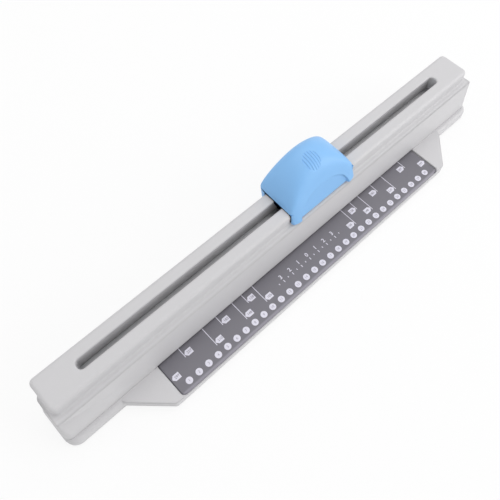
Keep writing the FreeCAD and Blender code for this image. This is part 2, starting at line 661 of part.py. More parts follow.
def punch_channel():
    body = new_body("punch_channel")
    front = "(hole_line - channel_reach_front)"
    back = "(hole_line + channel_reach_back)"
    half = "(%s + channel_end)" % ROW_HALF
    foot = "(%s + channel_foot)" % ROW_HALF
    section = polygon_sketch(body, "ChannelSection", "YZ_Plane", "0", [
        (front, BASE_Z),
        (back, BASE_Z),
        (back, CHANNEL_Z),
        (front, CHANNEL_Z),
        (front, CHANNEL_Z + " - channel_steel"),
        (back + " - channel_steel", CHANNEL_Z + " - channel_steel"),
        (back + " - channel_steel", BASE_Z + " + channel_steel"),
        (front, BASE_Z + " + channel_steel"),
    ])
    pad(body, "Channel", section, "2 * " + half, symmetric=True)
    bends = [lengthwise_at(back, BASE_Z), lengthwise_at(back, CHANNEL_Z)]
    fillet(body, "ChannelBends", "channel_steel", lambda edge: any(bend(edge) for bend in bends))
    tab_front = "%s - die_screw_head / 2 - 0.6" % DIE_SCREW_Y
    tab_back = "%s - 2 * channel_steel" % back
    for side, sign in (("Left", "-"), ("Right", "")):
        tab = box_sketch(body, side + "Tab", "XY_Plane", BASE_Z,
                         "%s(%s - 1)" % (sign, half), "%s%s" % (sign, foot), tab_front, tab_back)
        pad(body, side + "TabPad", tab, "channel_steel")
    holes = circles(body, "TabHoles", BASE_Z + " - 1", die_screw_places(), "die_screw + 0.2")
    cut_up(body, "TabHolesCut", holes, "channel_steel + 2")
    slot = box_sketch(body, "ChannelSlot", "XY_Plane", BASE_Z + " - 1",
                      "-(%s + pin_diameter / 2 + 1)" % ROW_HALF, "%s + pin_diameter / 2 + 1" % ROW_HALF,
                      "hole_line - pin_diameter / 2 - 1", "hole_line + pin_diameter / 2 + 1")
    cut_up(body, "ChannelSlotCut", slot, "channel_steel + 2")
    row_of_holes(body, "GuideHoles", CHANNEL_Z + " - channel_steel - 1", "channel_steel + 2")
    return body


def pin_x(number):
    return value("(%d - (hole_count - 1) / 2) * hole_pitch" % number)


def punch_pin(number):
    label = "punch_pin_%02d" % (number + 1)
    body = new_body(label)
    half = polygon_sketch(body, "PinHalf", "XZ_Plane", "0", [
        ("0", "0"),
        ("pin_diameter / 2", "0"),
        ("pin_diameter / 2", "%s - %s - pin_head_height" % (HEAD_Z, TIP_Z)),
        ("pin_head / 2", "%s - %s - pin_head_height" % (HEAD_Z, TIP_Z)),
        ("pin_head / 2", "%s - %s" % (HEAD_Z, TIP_Z)),
        ("0", "%s - %s" % (HEAD_Z, TIP_Z)),
    ])
    turn = body.newObject("PartDesign::Revolution", "PinTurned")
    turn.Profile = half
    turn.ReferenceAxis = (half, ["V_Axis"])
    turn.Angle = 360
    document.recompute()
    notch = polygon_sketch(body, "PinNotch", "YZ_Plane", "0", [
        ("-pin_diameter / 2 + 0.4", "-0.01"),
        ("pin_diameter / 2 - 0.4", "-0.01"),
        ("0", "pin_notch_depth"),
    ])
    pocket(body, "PinNotchCut", notch, "pin_diameter + 1", symmetric=True)
    body.Placement = Placement(Vector(pin_x(number), value("hole_line"), value(TIP_Z)), Rotation())
    return body


def return_springs():
    inner = value("pin_diameter / 2 + spring_gap")
    outer = inner + value("spring_wire")
    low, high = value(CHANNEL_Z), value("%s - pin_head_height" % HEAD_Z)
    sleeves = []
    for number in range(int(value("hole_count"))):
        centre = Vector(pin_x(number), value("hole_line"), low)
        walls = [regular_prism(centre, reach, 8, high - low) for reach in (outer, inner)]
        sleeves.append(walls[0].cut(walls[1]))
    return shape_object("return_springs", Part.makeCompound(sleeves))


def regular_prism(centre, reach, sides, length):
    radius = reach / math.cos(math.pi / sides)
    turns = [math.pi * (2 * i + 1) / sides for i in range(sides)]
    points = [centre + Vector(radius * math.cos(a), radius * math.sin(a), 0) for a in turns]
    face = Part.Face(Part.makePolygon(points + points[:1]))
    return face.extrude(Vector(0, 0, length))


def press_strip():
    body = new_body("press_strip")
    half = "(%s + strip_lap)" % SLOT_HALF
    plan = new_sketch(body, "StripPlan", "XY_Plane", STRIP_Z)
    add_rounded_rectangle(plan, "-" + half, half, "hole_line - strip_width / 2",
                          "hole_line + strip_width / 2", "strip_width / 4")
    pad(body, "Strip", plan, "strip_thickness")
    holes = circles(body, "StripHoles", STRIP_Z + " - 1", rivet_places(), "rivet_diameter + 0.2")
    cut_up(body, "StripHolesCut", holes, "strip_thickness + 2")
    return body


def rivet_places():
    x_text = "(%s + strip_lap / 2)" % SLOT_HALF
    return [("-" + x_text, "hole_line"), (x_text, "hole_line")]


def strip_rivets():
    rivets = []
    for x_text, y_text in rivet_places():
        seat = Vector(value(x_text), value(y_text), value(STRIP_Z))
        stem = Part.makeCylinder(value("rivet_diameter / 2"), value("strip_thickness + rivet_bite"), seat)
        height = value("rivet_head_height")
        head = Part.makeCylinder(value("rivet_head / 2"), height, seat - Vector(0, 0, height))
        rivets.append(stem.fuse(head).removeSplitter())
    return shape_object("strip_rivets", Part.makeCompound(rivets))


def pan_screw(seat, up, thread, head, head_height, length):
    stem = Part.makeCylinder(thread / 2, length, seat, up)
    cap = Part.makeCylinder(head / 2, head_height, seat, up * -1)
    return stem.fuse(cap).removeSplitter()


def die_set_screws():
    screws = []
    for x_text, y_text in die_screw_places():
        seat = Vector(value(x_text), value(y_text), value(BASE_Z + " + channel_steel"))
        screws.append(pan_screw(seat, Vector(0, 0, -1), value("die_screw"), value("die_screw_head"),
                                value("screw_head_height"), value("channel_steel + base_depth - 2")))
    return shape_object("die_set_screws", Part.makeCompound(screws))


# Upper housing

def upper_housing():
    body = new_body("upper_housing")
    front, back = "(hole_line - housing_front)", "(hole_line + housing_back)"
    plan = new_sketch(body, "HousingFoot", "XY_Plane", BASE_Z)
    add_rounded_rectangle(plan, "-" + FOOT_HALF, FOOT_HALF, front, back, "housing_corner",
                          "housing_back_corner")
    pad(body, "HousingBlock", plan, "housing_height")
    slope_walls(body, "HousingSlope")
    hollow_housing(body, front, back)
    neck_back = "(hole_line + neck_back)"
    cap = polygon_sketch(body, "CapSection", "YZ_Plane", "0", [
        (CAP_FRONT, SHELF_Z + " - 1"),
        (neck_back, SHELF_Z + " - 1"),
        (neck_back, LIP_Z),
        (CAP_BACK, LIP_Z),
        (CAP_BACK, CAP_Z),
        (CAP_FRONT, CAP_Z),
    ])
    pad(body, "CapBlock", cap, "2 * " + CAP_HALF, symmetric=True)
    round_cap(body)
    open_slot(body, neck_back)
    throat = box_sketch(body, "Throat", "XY_Plane", BASE_Z + " - 1",
                        "-(%s + throat_margin)" % TABLE_HALF, "%s + throat_margin" % TABLE_HALF,
                        front + " - 1", front + " + 2 * housing_wall")
    cut_up(body, "ThroatCut", throat, "throat_height + 1")
    bosses = circles(body, "Bosses", BASE_Z, housing_screw_places(), "boss_diameter")
    pad(body, "BossPads", bosses, "%s - %s + 0.5" % (ROOF_Z, BASE_Z))
    pilots = circles(body, "BossPilots", BASE_Z + " - 1", housing_screw_places(), "boss_bore")
    cut_up(body, "BossPilotsCut", pilots, "screw_bite + 2")
    rivets = circles(body, "RivetHoles", ROOF_Z + " - 1", rivet_places(), "rivet_diameter + 0.1")
    cut_up(body, "RivetHolesCut", rivets, "rivet_bite + 1.2")
    return body


def slope_walls(body, name):
    block = body.Tip
    faces = list(enumerate(block.Shape.Faces, start=1))
    walls = ["Face%d" % number for number, face in faces
             if spread(face, "Z") > 1 and abs(face.normalAt(0, 0).z) < 1e-6]
    foot = min(faces, key=lambda entry: entry[1].CenterOfMass.z)
    draft = body.newObject("PartDesign::Draft", name)
    draft.Base = (block, walls)
    draft.NeutralPlane = (block, ["Face%d" % foot[0]])
    draft.setExpression("Angle", bound("housing_draft"))
    settle(draft)
    if draft.Shape.Volume > block.Shape.Volume:
        draft.Reversed = True
        settle(draft)


def round_cap(body):
    half, shelf, front = value(CAP_HALF), value(SHELF_Z), value(CAP_FRONT)
    neck = value("hole_line + neck_back")
    fillet(body, "CapCorners", "cap_corner", lambda edge: (
        spread(edge, "Z") > 0.5 and near(abs(edge.BoundBox.XMin), half) and spread(edge, "X") < 0.01
        and edge.BoundBox.ZMin > shelf - 0.1 and (near(edge.BoundBox.YMin, front)
                                                  or near(edge.BoundBox.YMax, value(CAP_BACK)))))
    fillet(body, "CapTopRound", "cap_round", level_at(CAP_Z))
    fillet(body, "CapCove", "cap_cove", level_at(SHELF_Z, lambda edge: (
        abs(edge.BoundBox.XMin) < half + 0.1 and abs(edge.BoundBox.XMax) < half + 0.1
        and edge.BoundBox.YMin > front - 0.1 and edge.BoundBox.YMax < neck + 0.1
        and near(edge.BoundBox.YMin, front, value("cap_corner + 0.1")))))


def hollow_housing(body, front, back):
    for name, rise in (("Wide", "cavity_step"), ("Narrow", "(housing_height - housing_wall)")):
        inset = "(housing_wall / cos(housing_draft) + %s * tan(housing_draft))" % rise
        cavity = box_sketch(body, name + "Cavity", "XY_Plane", BASE_Z,
                            "%s - %s" % (inset, FOOT_HALF), "%s - %s" % (FOOT_HALF, inset),
                            "%s + %s" % (front, inset), "%s - %s" % (back, inset))
        cut_up(body, name + "CavityCut", cavity, rise)


def open_slot(body, neck_back):
    wall_front = "(%s - slot_wall)" % SLOT_FRONT
    slot = polygon_sketch(body, "SlotSection", "YZ_Plane", "0", [
        (CAP_FRONT + " + housing_wall", ROOF_Z + " - 1"),
        (SLOT_BACK, ROOF_Z + " - 1"),
        (SLOT_BACK, CAP_Z + " + 1"),
        (SLOT_FRONT, CAP_Z + " + 1"),
        (SLOT_FRONT, SLOT_WALL_Z),
        (wall_front, SLOT_WALL_Z),
        (wall_front, CAP_Z + " - cap_roof"),
        (CAP_FRONT + " + housing_wall", CAP_Z + " - cap_roof"),
    ])
    pocket(body, "SlotCut", slot, "2 * " + SLOT_HALF, symmetric=True)
    fillet(body, "SlotEnds", "slot_width * 0.45", lambda edge: (
        spread(edge, "Z") > 5 and near(abs(edge.BoundBox.XMin), value(SLOT_HALF))
        and spread(edge, "X") < 0.01 and edge.BoundBox.ZMax > value(CAP_Z) - 0.1))
    fillet(body, "SlotLips", "slot_round", lambda edge: (
        near(edge.BoundBox.ZMin, value(CAP_Z)) and spread(edge, "Z") < 0.01
        and edge.BoundBox.YMin > value(SLOT_FRONT) - 0.1 and edge.BoundBox.YMax < value(SLOT_BACK) + 0.1))
    groove = box_sketch(body, "LipGroove", "YZ_Plane", "0", neck_back, CAP_BACK + " - lip_wall",
                        LIP_Z + " - 1", CAP_Z + " - cap_roof - 0.3")
    pocket(body, "LipGrooveCut", groove, "2 * (%s - cap_corner)" % CAP_HALF, symmetric=True)


def housing_screws():
    screws = []
    for x_text, y_text in housing_screw_places():
        seat = Vector(value(x_text), value(y_text), value(BASE_Z + " - base_wall"))
        screws.append(pan_screw(seat, Vector(0, 0, 1), value("housing_screw"), value("housing_screw_head"),
                                value("screw_head_height"), value("base_wall + screw_bite")))
    return shape_object("housing_screws", Part.makeCompound(screws))


# Slider, drawn with its own X = 0 in its middle and then placed on the cap

DOME_SHARES = [-1, -0.975, -0.92, -0.8, -0.6, -0.33, 0, 0.33, 0.6, 0.8, 0.92, 0.975, 1]


def slider_place():
    return Placement(Vector(value("slider_place"), 0, 0), Rotation())


def slider_shell():
    body = new_body("slider_shell")
    dome(body)
    scoop_front(body)
    open_underside(body)
    shell_bosses(body)
    grip(body)
    body.Placement = slider_place()
    return body


def dome_height(x):
    share = min(abs(x) / value("slider_half"), 1)
    fall = (1 - share ** value("dome_span_power")) ** (1 / value("dome_fall_power"))
    return max(value("slider_crown") * fall, value("slider_edge"))


def corner_pull(x):
    corner = value("slider_corner")
    reach = max(abs(x) - value("slider_half") + corner, 0)
    return corner - math.sqrt(max(corner ** 2 - reach ** 2, 0))


def brow(ridge, crown, slope, fullness, step):
    knee = ridge.x + slope * (crown.y - ridge.y)
    rise = ridge + Vector(knee - ridge.x, crown.y - ridge.y, 0) * fullness
    flat = crown + Vector(knee - crown.x, 0, 0) * fullness
    rest = 1 - step
    ends = ridge * rest ** 3 + crown * step ** 3
    return ends + rise * (3 * step * rest ** 2) + flat * (3 * step ** 2 * rest)


def back_round(crown, hip, power, step):
    turn = step * math.pi / 2
    along, up = math.sin(turn) ** (2 / power), math.cos(turn) ** (2 / power)
    return Vector(crown.x + (hip.x - crown.x) * along, hip.y + (crown.y - hip.y) * up, 0)


def dome_frame(x):
    high = value(SLIDER_Z) + dome_height(x)
    share = dome_height(x) / value("slider_crown")
    slope = value("slider_front_slope / (%s - %s)" % (RIDGE_Z, FOOT_Z))
    up = high - value("slider_ridge_drop") * share - value(FOOT_Z)
    ridge = Vector(value(SLIDER_FRONT) + corner_pull(x) + slope * up, value(FOOT_Z) + up, 0)
    return ridge, Vector(value("hole_line + slider_crown_back"), high, 0), slope


def dome_points(x):
    ridge, crown, slope = dome_frame(x)
    foot = Vector(value(SLIDER_FRONT) + corner_pull(x), value(FOOT_Z), 0)
    share = dome_height(x) / value("slider_crown")
    hip = Vector(value(SLIDER_BACK) - corner_pull(x), crown.y - value("dome_back_bend") * share, 0)
    toe = Vector(hip.x - value("slider_back_tuck"), value(SKIRT_Z), 0)
    points = [foot, (foot + ridge) * 0.5]
    points += [brow(ridge, crown, slope, value("dome_brow_fullness"), step / 4) for step in range(4)]
    points += [back_round(crown, hip, value("dome_back_power"), step / 4) for step in range(5)]
    return points + [toe]


def chord_shares(points):
    ends = [0]
    for before, after in zip(points, points[1:]):
        ends.append(ends[-1] + before.distanceToPoint(after))
    return [end / ends[-1] for end in ends]


def dome_section(body, number, share):
    points = dome_points(share * value("slider_half"))
    sketch = new_sketch(body, "DomeSection%d" % number, "YZ_Plane", "%.3f * slider_half" % share)
    curve = Part.BSplineCurve()
    curve.interpolate(Points=points, Parameters=chord_shares(dome_points(0)))
    sketch.addGeometry([curve, Part.LineSegment(points[-1], points[0])], False)
    sketch.addConstraint(Sketcher.Constraint("Coincident", 0, 2, 1, 1))
    sketch.addConstraint(Sketcher.Constraint("Coincident", 1, 2, 0, 1))
    return sketch


def dome(body):
    sections = [dome_section(body, number, share) for number, share in enumerate(DOME_SHARES)]
    loft = body.newObject("PartDesign::AdditiveLoft", "Dome")
    loft.Profile = sections[0]
    loft.Sections = sections[1:]
    settle(loft)


def tilt_sketch(sketch, up_text, angle_text):
    sketch.AttachmentOffset = Placement(Vector(0, 0, 0), Rotation(Vector(1, 0, 0), 0))
    sketch.setExpression("AttachmentOffset.Base.y", bound(up_text))
    sketch.setExpression("AttachmentOffset.Rotation.Angle", bound(angle_text))


def scoop_front(body):
    lean = "atan((slider_front_slope - scoop_depth) / (%s - %s))" % (RIDGE_Z, FOOT_Z)
    arch = new_sketch(body, "ScoopArch", "XZ_Plane", "-(%s + scoop_depth)" % SLIDER_FRONT)
    tilt_sketch(arch, FOOT_Z, "-" + lean)
    half = value("scoop_half")
    height = math.hypot(value("%s - %s" % (RIDGE_Z, FOOT_Z)), value("slider_front_slope - scoop_depth"))
    low = -value("slider_foot_lift")
    curve = Part.ArcOfEllipse(Part.Ellipse(Vector(0, 0, 0), half, height), 0, math.pi)
    corners = [Vector(-half, 0, 0), Vector(-half, low, 0), Vector(half, low, 0), Vector(half, 0, 0)]
    arch.addGeometry([curve] + [Part.LineSegment(*pair) for pair in zip(corners, corners[1:])], False)
    for before, after in ((0, 1), (1, 2), (2, 3), (3, 0)):
        arch.addConstraint(Sketcher.Constraint("Coincident", before, 2, after, 1))
    cut_up(body, "Scoop", arch, "4 * slider_foot_thickness")


def open_underside(body):
    rail = box_sketch(body, "RailRoom", "YZ_Plane", "0", SLIDER_INNER_FRONT, SLIDER_INNER_BACK,
                      FOOT_Z + " - 30", SLIDER_Z)
    pocket(body, "RailRoomCut", rail, "4 * slider_half", symmetric=True)
    toe = box_sketch(body, "Toe", "YZ_Plane", "0", SLIDER_INNER_BACK + " - toe_reach",
                     SLIDER_INNER_BACK + " + 0.5", LIP_Z + " - toe_play - toe_height", LIP_Z + " - toe_play")
    pad(body, "ToePad", toe, "2 * scoop_half", symmetric=True)
    room = box_sketch(body, "InnerRoom", "XY_Plane", SLIDER_Z + " - 1",
                      "-(%s + block_length / 2 + shell_room_play)" % BLOCK_X,
                      "%s + block_length / 2 + shell_room_play" % BLOCK_X,
                      SLOT_FRONT + " - shell_room_play", SLOT_BACK + " + shell_room_play")
    cut_up(body, "InnerRoomCut", room, "shell_room + 1")


def carriage_screw_places():
    return [("-" + BLOCK_X, "hole_line"), (BLOCK_X, "hole_line")]


def shell_bosses(body):
    bosses = circles(body, "ShellBosses", BLOCK_Z, carriage_screw_places(), "shell_boss")
    pad(body, "ShellBossPads", bosses, "%s + shell_room - %s + 1" % (SLIDER_Z, BLOCK_Z))
    pilots = circles(body, "ShellPilots", BLOCK_Z + " - 1", carriage_screw_places(), "shell_screw + 0.1")
    cut_up(body, "ShellPilotsCut", pilots, "shell_screw_bite + 2")


def grip(body):
    radius, pitch = value("grip_diameter / 2"), value("grip_rib_pitch")
    for number in range(6):
        x = (number - 2.5) * pitch
        grip_groove(body, number, x, math.sqrt(radius ** 2 - x ** 2))


def grip_groove(body, number, x, reach):
    ridge, crown, slope = dome_frame(x)
    middle, depth = value("hole_line"), Vector(0, value("grip_depth"), 0)
    steps = [brow(ridge, crown, slope, value("dome_brow_fullness"), step / 24) for step in range(25)]
    floor = [point - depth for point in steps if abs(point.x - middle) < reach]
    curve = Part.BSplineCurve()
    curve.interpolate(floor)
    top = crown.y + 1
    corners = [floor[-1], Vector(floor[-1].x, top, 0), Vector(floor[0].x, top, 0), floor[0]]
    sketch = new_sketch(body, "GripGroove%d" % number, "YZ_Plane", "%.1f * grip_rib_pitch" % (number - 2.5))
    sketch.addGeometry([curve] + [Part.LineSegment(*pair) for pair in zip(corners, corners[1:])], False)
    for before, after in ((0, 1), (1, 2), (2, 3), (3, 0)):
        sketch.addConstraint(Sketcher.Constraint("Coincident", before, 2, after, 1))
    pocket(body, "GripGrooveCut%d" % number, sketch, "grip_rib_pitch - grip_rib_width", symmetric=True)


def slider_carriage():
    body = new_body("slider_carriage")
    half_x = "(%s + block_length / 2)" % BLOCK_X
    block = box_sketch(body, "CarriageBlock", "XY_Plane", CARRIAGE_Z, "-" + half_x, half_x,
                       "hole_line - " + CHEEK_HALF, "hole_line + " + CHEEK_HALF)
    pad(body, "CarriagePad", block, "block_height")
    gap = "(roller_width / 2 + roller_play)"
    well = box_sketch(body, "RollerWell", "XY_Plane", CARRIAGE_Z + " - 1",
                      "block_length / 2 - " + BLOCK_X, BLOCK_X + " - block_length / 2",
                      "hole_line - " + gap, "hole_line + " + gap)
    cut_up(body, "RollerWellCut", well, "block_height + 2")
    bore = new_sketch(body, "AxleBore", "XZ_Plane", "0")
    add_circle(bore, "0", ROLLER_Z, "axle_diameter + 2 * axle_seat")
    pocket(body, "AxleBoreCut", bore, "2 * (hole_line + slot_width)", symmetric=True)
    tongue = box_sketch(body, "Tongue", "XY_Plane", CARRIAGE_Z, "-tongue_half", "tongue_half",
                        "hole_line - %s - tongue_reach - slot_wall" % CHEEK_HALF,
                        "hole_line - %s + 0.5" % CHEEK_HALF)
    pad(body, "TonguePad", tongue, "%s - roller_play - %s" % (SLOT_WALL_Z, CARRIAGE_Z))
    heads = circles(body, "HeadBores", CARRIAGE_Z + " - 1", carriage_screw_places(), "shell_screw_head + 0.3")
    cut_up(body, "HeadBoresCut", heads, "%s - %s + 1" % (SCREW_SEAT_Z, CARRIAGE_Z))
    stems = circles(body, "StemBores", CARRIAGE_Z, carriage_screw_places(), "shell_screw + 0.3")
    cut_up(body, "StemBoresCut", stems, "block_height + 1")
    body.Placement = slider_place()
    return body


def cross_cylinder(radius, low_y, high_y):
    return Part.makeCylinder(radius, high_y - low_y, Vector(0, low_y, value(ROLLER_Z)), Vector(0, 1, 0))


def press_roller():
    half = value("roller_width / 2")
    middle = value("hole_line")
    tread = cross_cylinder(value("roller_diameter / 2"), middle - half, middle + half)
    rims = [edge for edge in tread.Edges if spread(edge, "X") > 1 and spread(edge, "Y") < 0.01]
    tread = tread.makeChamfer(0.5, rims)
    bore = cross_cylinder(value("axle_diameter / 2 + axle_play"), middle - half - 1, middle + half + 1)
    return shape_object("press_roller", tread.cut(bore), slider_place())


def roller_axle():
    half = value(CHEEK_HALF)
    middle = value("hole_line")
    axle = cross_cylinder(value("axle_diameter / 2"), middle - half, middle + half)
    return shape_object("roller_axle", axle, slider_place())


def carriage_screws():
    screws = []
    for x_text, y_text in carriage_screw_places():
        seat = Vector(value(x_text), value(y_text), value(SCREW_SEAT_Z))
        screws.append(pan_screw(seat, Vector(0, 0, 1), value("shell_screw"), value("shell_screw_head"),
                                value("screw_head_height"), value("shell_screw_seat + shell_screw_bite")))
    return shape_object("carriage_screws", Part.makeCompound(screws), slider_place())


# Chip drawer, strips that clip together into a long tray

def drawer_block(label, low, high, x_low, x_high, half_width):
    body = new_body(label)
    plan = box_sketch(body, "DrawerPlan", "XY_Plane", low, x_low, x_high,
                      "hole_line - " + half_width, "hole_line + " + half_width)
    pad(body, "DrawerBlock", plan, "%s - %s" % (high, low))
    return body


def drawer_floor():
    return drawer_block("drawer_floor", TRAY_LOW, TRAY_DECK, TRAY_TAIL, TRAY_END, "tray_width / 2")


def drawer_back():
    return drawer_block("drawer_back", TRAY_DECK, TRAY_TOP, TRAY_TAIL, TRAY_TAIL + " + tray_wall",
                        "(tray_width / 2 - tray_wall)")


def drawer_front():
    body = drawer_block("drawer_front", TRAY_LOW, TRAY_TOP, TRAY_END, TRAY_NOSE, FLANGE_HALF)
    groove = box_sketch(body, "PullGroove", "XY_Plane", TRAY_LOW + " - 1",
                        TRAY_NOSE + " - tray_wall", TRAY_NOSE + " + 1",
                        "hole_line - tray_width / 2", "hole_line + tray_width / 2")
    cut_up(body, "PullGrooveCut", groove, "3")
    return body


def drawer_rails():
    inside, outside, reach = value("tray_width / 2 - tray_wall"), value("tray_width / 2"), value(FLANGE_HALF)
    deck, top = value(TRAY_DECK), value(TRAY_TOP)
    shoulder = top - value("tray_flange_thickness")
    section = [(inside, deck), (outside, deck), (outside, shoulder),
               (reach, shoulder), (reach, top), (inside, top)]
    run = Vector(value("%s - %s" % (TRAY_END, TRAY_TAIL)), 0, 0)
    rails = []
    for side in (-1, 1):
        points = [Vector(value(TRAY_TAIL), value("hole_line") + side * y, z) for y, z in section]
        rails.append(Part.Face(Part.makePolygon(points + points[:1])).extrude(run))
    return shape_object("drawer_rails", Part.makeCompound(rails))


# Build, check and write

def pieces():
    made = [base_shell(), rubber_feet(), guide_plate(), die_plate(), paper_stop(), punch_channel(),
            return_springs(), press_strip(), strip_rivets(), die_set_screws(), upper_housing(),
            housing_screws(), slider_shell(), slider_carriage(), press_roller(), roller_axle(),
            carriage_screws(), drawer_floor(), drawer_rails(),
            drawer_front(), drawer_back()]
    return made + [punch_pin(number) for number in range(int(value("hole_count")))]


def check(made):
    for item in document.Objects:
        if "Invalid" in item.State or "Error" in item.State:
            sys.exit("%s failed: %s" % (item.Label, item.State))
    for item in made:
        if item.Shape.isNull() or not item.Shape.isValid():
            sys.exit("%s has no sound shape" % item.Label)


def main():
    fill_sheet()
    made = pieces()
    document.recompute()
    check(made)
    os.makedirs("parts", exist_ok=True)
    for item in made:
        item.Shape.exportStep(os.path.join("parts", item.Label + ".step"))
        print("%-18s %5d faces %10.1f mm3" % (item.Label, len(item.Shape.Faces), item.Shape.Volume))


main()
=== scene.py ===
import math

import bmesh
import bpy
import numpy
from bpy.props import FloatProperty, FloatVectorProperty, PointerProperty
from mathutils import Matrix, Vector


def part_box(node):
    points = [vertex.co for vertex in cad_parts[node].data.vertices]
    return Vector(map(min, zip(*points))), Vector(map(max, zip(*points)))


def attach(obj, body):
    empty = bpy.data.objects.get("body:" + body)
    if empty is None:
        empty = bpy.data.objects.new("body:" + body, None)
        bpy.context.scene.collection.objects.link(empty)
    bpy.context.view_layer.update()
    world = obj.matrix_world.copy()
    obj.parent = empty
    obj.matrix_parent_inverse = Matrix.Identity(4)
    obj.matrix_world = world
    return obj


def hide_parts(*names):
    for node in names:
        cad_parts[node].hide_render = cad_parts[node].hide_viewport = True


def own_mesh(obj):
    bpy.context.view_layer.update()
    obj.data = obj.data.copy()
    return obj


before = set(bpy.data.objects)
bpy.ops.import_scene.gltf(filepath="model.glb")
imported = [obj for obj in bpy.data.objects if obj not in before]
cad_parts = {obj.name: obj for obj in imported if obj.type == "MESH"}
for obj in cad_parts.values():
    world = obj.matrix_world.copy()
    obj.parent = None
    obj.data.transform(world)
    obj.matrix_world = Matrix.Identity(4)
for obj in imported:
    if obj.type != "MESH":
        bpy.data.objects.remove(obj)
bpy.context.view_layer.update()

bl_info = {
    "name": "Thirty-hole punch",
    "version": (1, 0, 0),
    "blender": (4, 5, 0),
    "location": "3D View > Sidebar > Punch",
    "description": "Dresses the packed thirty-hole punch with finishes, print, slider and stage",
    "category": "Object",
}

MM = 0.001
HOLES = 30


# Sizes and colours that a user would change

def length(name, description, millimetres):
    return FloatProperty(name=name, description=description, default=millimetres * MM,
                         subtype="DISTANCE", unit="LENGTH", precision=5)


def colour(name, description, red, green, blue):
    linear = [(part / 255 / 12.92) if part < 10.3 else ((part / 255 + 0.055) / 1.055) ** 2.4
              for part in (red, green, blue)]
    return FloatVectorProperty(name=name, description=description, default=linear, size=3,
                               subtype="COLOR", min=0.0, max=1.0)


class PunchPrint(bpy.types.PropertyGroup):
    pitch: length("Hole pitch", "Distance between the printed dots", 9.5)
    dot_line: length("Dot line", "Y of the row of dots", -31.0)
    dot_diameter: length("Dot diameter", "Width of a printed dot", 5.6)
    flag_side: length("Flag side", "Side of a size flag without its point", 5.0)
    flag_point: length("Flag point", "How far a flag's point reaches", 1.9)
    flag_back: length("Flag to line", "Middle of a flag to the sheet's edge line", 5.0)
    line_width: length("Line width", "Width of the sheet's edge lines", 0.55)
    line_start: length("Line start", "Y where the lines begin under the housing", -6.4)
    long_line: length("Long line", "Y where a long line ends", -24.9)
    short_line: length("Short line", "Y where a short line ends", -15.8)
    low_row: length("Low row", "Y of the front row of flags", -22.6)
    high_row: length("High row", "Y of the back row of flags", -14.0)
    scale_line: length("Scale line", "Y of the middle scale", -19.2)
    ink: length("Ink", "Thickness of the printed ink", 0.06)


class PunchSlider(bpy.types.PropertyGroup):
    middle: length("Middle", "X of the slider's middle at rest", 31.5)
    half: length("Half length", "Middle of the slider to its end", 35.5)
    sole: length("Sole", "Height of the flat underside over the cap", 52.2)
    crown: length("Crown", "Height of the dome over the underside", 26.95)
    crown_line: length("Crown line", "Y of the dome's highest line", 27.2)
    end_height: length("End height", "Height of the dome at its two ends", 2.3)
    corner: length("Corner", "Plan corner at the dome's back", 3.0)
    brow_turn: length("Brow turn", "How far the front wall turns back at the ends", 3.6)
    brow_start: length("Brow start", "Where along the slider the front wall begins to turn back", 26.5)
    softness: length("Softness", "Reach over which the dome's bends are softened", 2.0)
    foot_round: length("Foot round", "Rounded lower edge of the front feet", 1.3)
    skirt_round: length("Skirt round", "Rounded lower edge of the back wall", 0.9)
    end_round: length("End round", "Rounded rim of the dome's two ends", 1.2)
    front: length("Front", "Y of the front feet", -4.0)
    foot: length("Foot", "Height of the feet's underside", 41.9)
    ridge_drop: length("Ridge drop", "Crown down to the top of the front wall", 18.3)
    front_run: length("Front run", "How far the front wall leans back", 7.9)
    back: length("Back", "Y of the back wall", 37.9)
    back_bend: length("Back bend", "Height of the bend behind the crown", 10.2)
    back_tuck: length("Back tuck", "How far the back wall leans in", 2.5)
    skirt: length("Skirt", "Height of the back wall's lower edge", 41.6)
    inner_front: length("Inner front", "Y of the front wall's inside", 1.7)
    inner_back: length("Inner back", "Y of the back wall's inside", 31.4)
    scoop_depth: length("Scoop depth", "Depth of the thumb scoop at the foot", 2.7)
    scoop_half: length("Scoop half width", "Half of the thumb scoop's width", 27.5)
    hook_reach: length("Hook reach", "Hook under the cap's back lip", 2.0)
    hook_low: length("Hook low", "Height of the hook's underside", 41.9)
    hook_high: length("Hook high", "Height of the hook's top", 43.9)
    room_half: length("Room half length", "Half length of the room for the carriage", 16.3)
    room_top: length("Room top", "Height of that room's ceiling", 64.2)
    room_front: length("Room front", "Y of that room's front", 11.4)
    room_back: length("Room back", "Y of that room's back", 21.6)
    boss_low: length("Boss low", "Height where the screw bosses end", 55.7)
    boss_place: length("Boss place", "Middle of the slider to a screw boss", 11.8)
    grip_radius: length("Grip radius", "Radius of the ribbed round grip", 7.5)
    grip_line: length("Grip line", "Y of the grip's middle", 17.6)
    grip_shift: length("Grip shift", "X from the slider's middle to the grip's", -1.2)
    hole_line: length("Hole line", "Y of the hole row, under the middle of the roller", 16.5)
    rib_pitch: length("Rib pitch", "Distance between the grip's ribs", 2.4)
    groove_width: length("Groove width", "Width between two ribs", 1.3)
    groove_depth: length("Groove depth", "Depth between two ribs", 0.5)
    span_power: FloatProperty(name="Span power", description="Fullness of the dome along its top",
                              default=1.84)
    fall_power: FloatProperty(name="Fall power", description="Steepness of the dome at its ends",
                              default=1.55)
    brow_fullness: FloatProperty(name="Brow fullness", description="Fullness of the dome's front top",
                                 default=0.82)
    back_power: FloatProperty(name="Back power", description="Squareness of the dome's back top",
                              default=2.15)


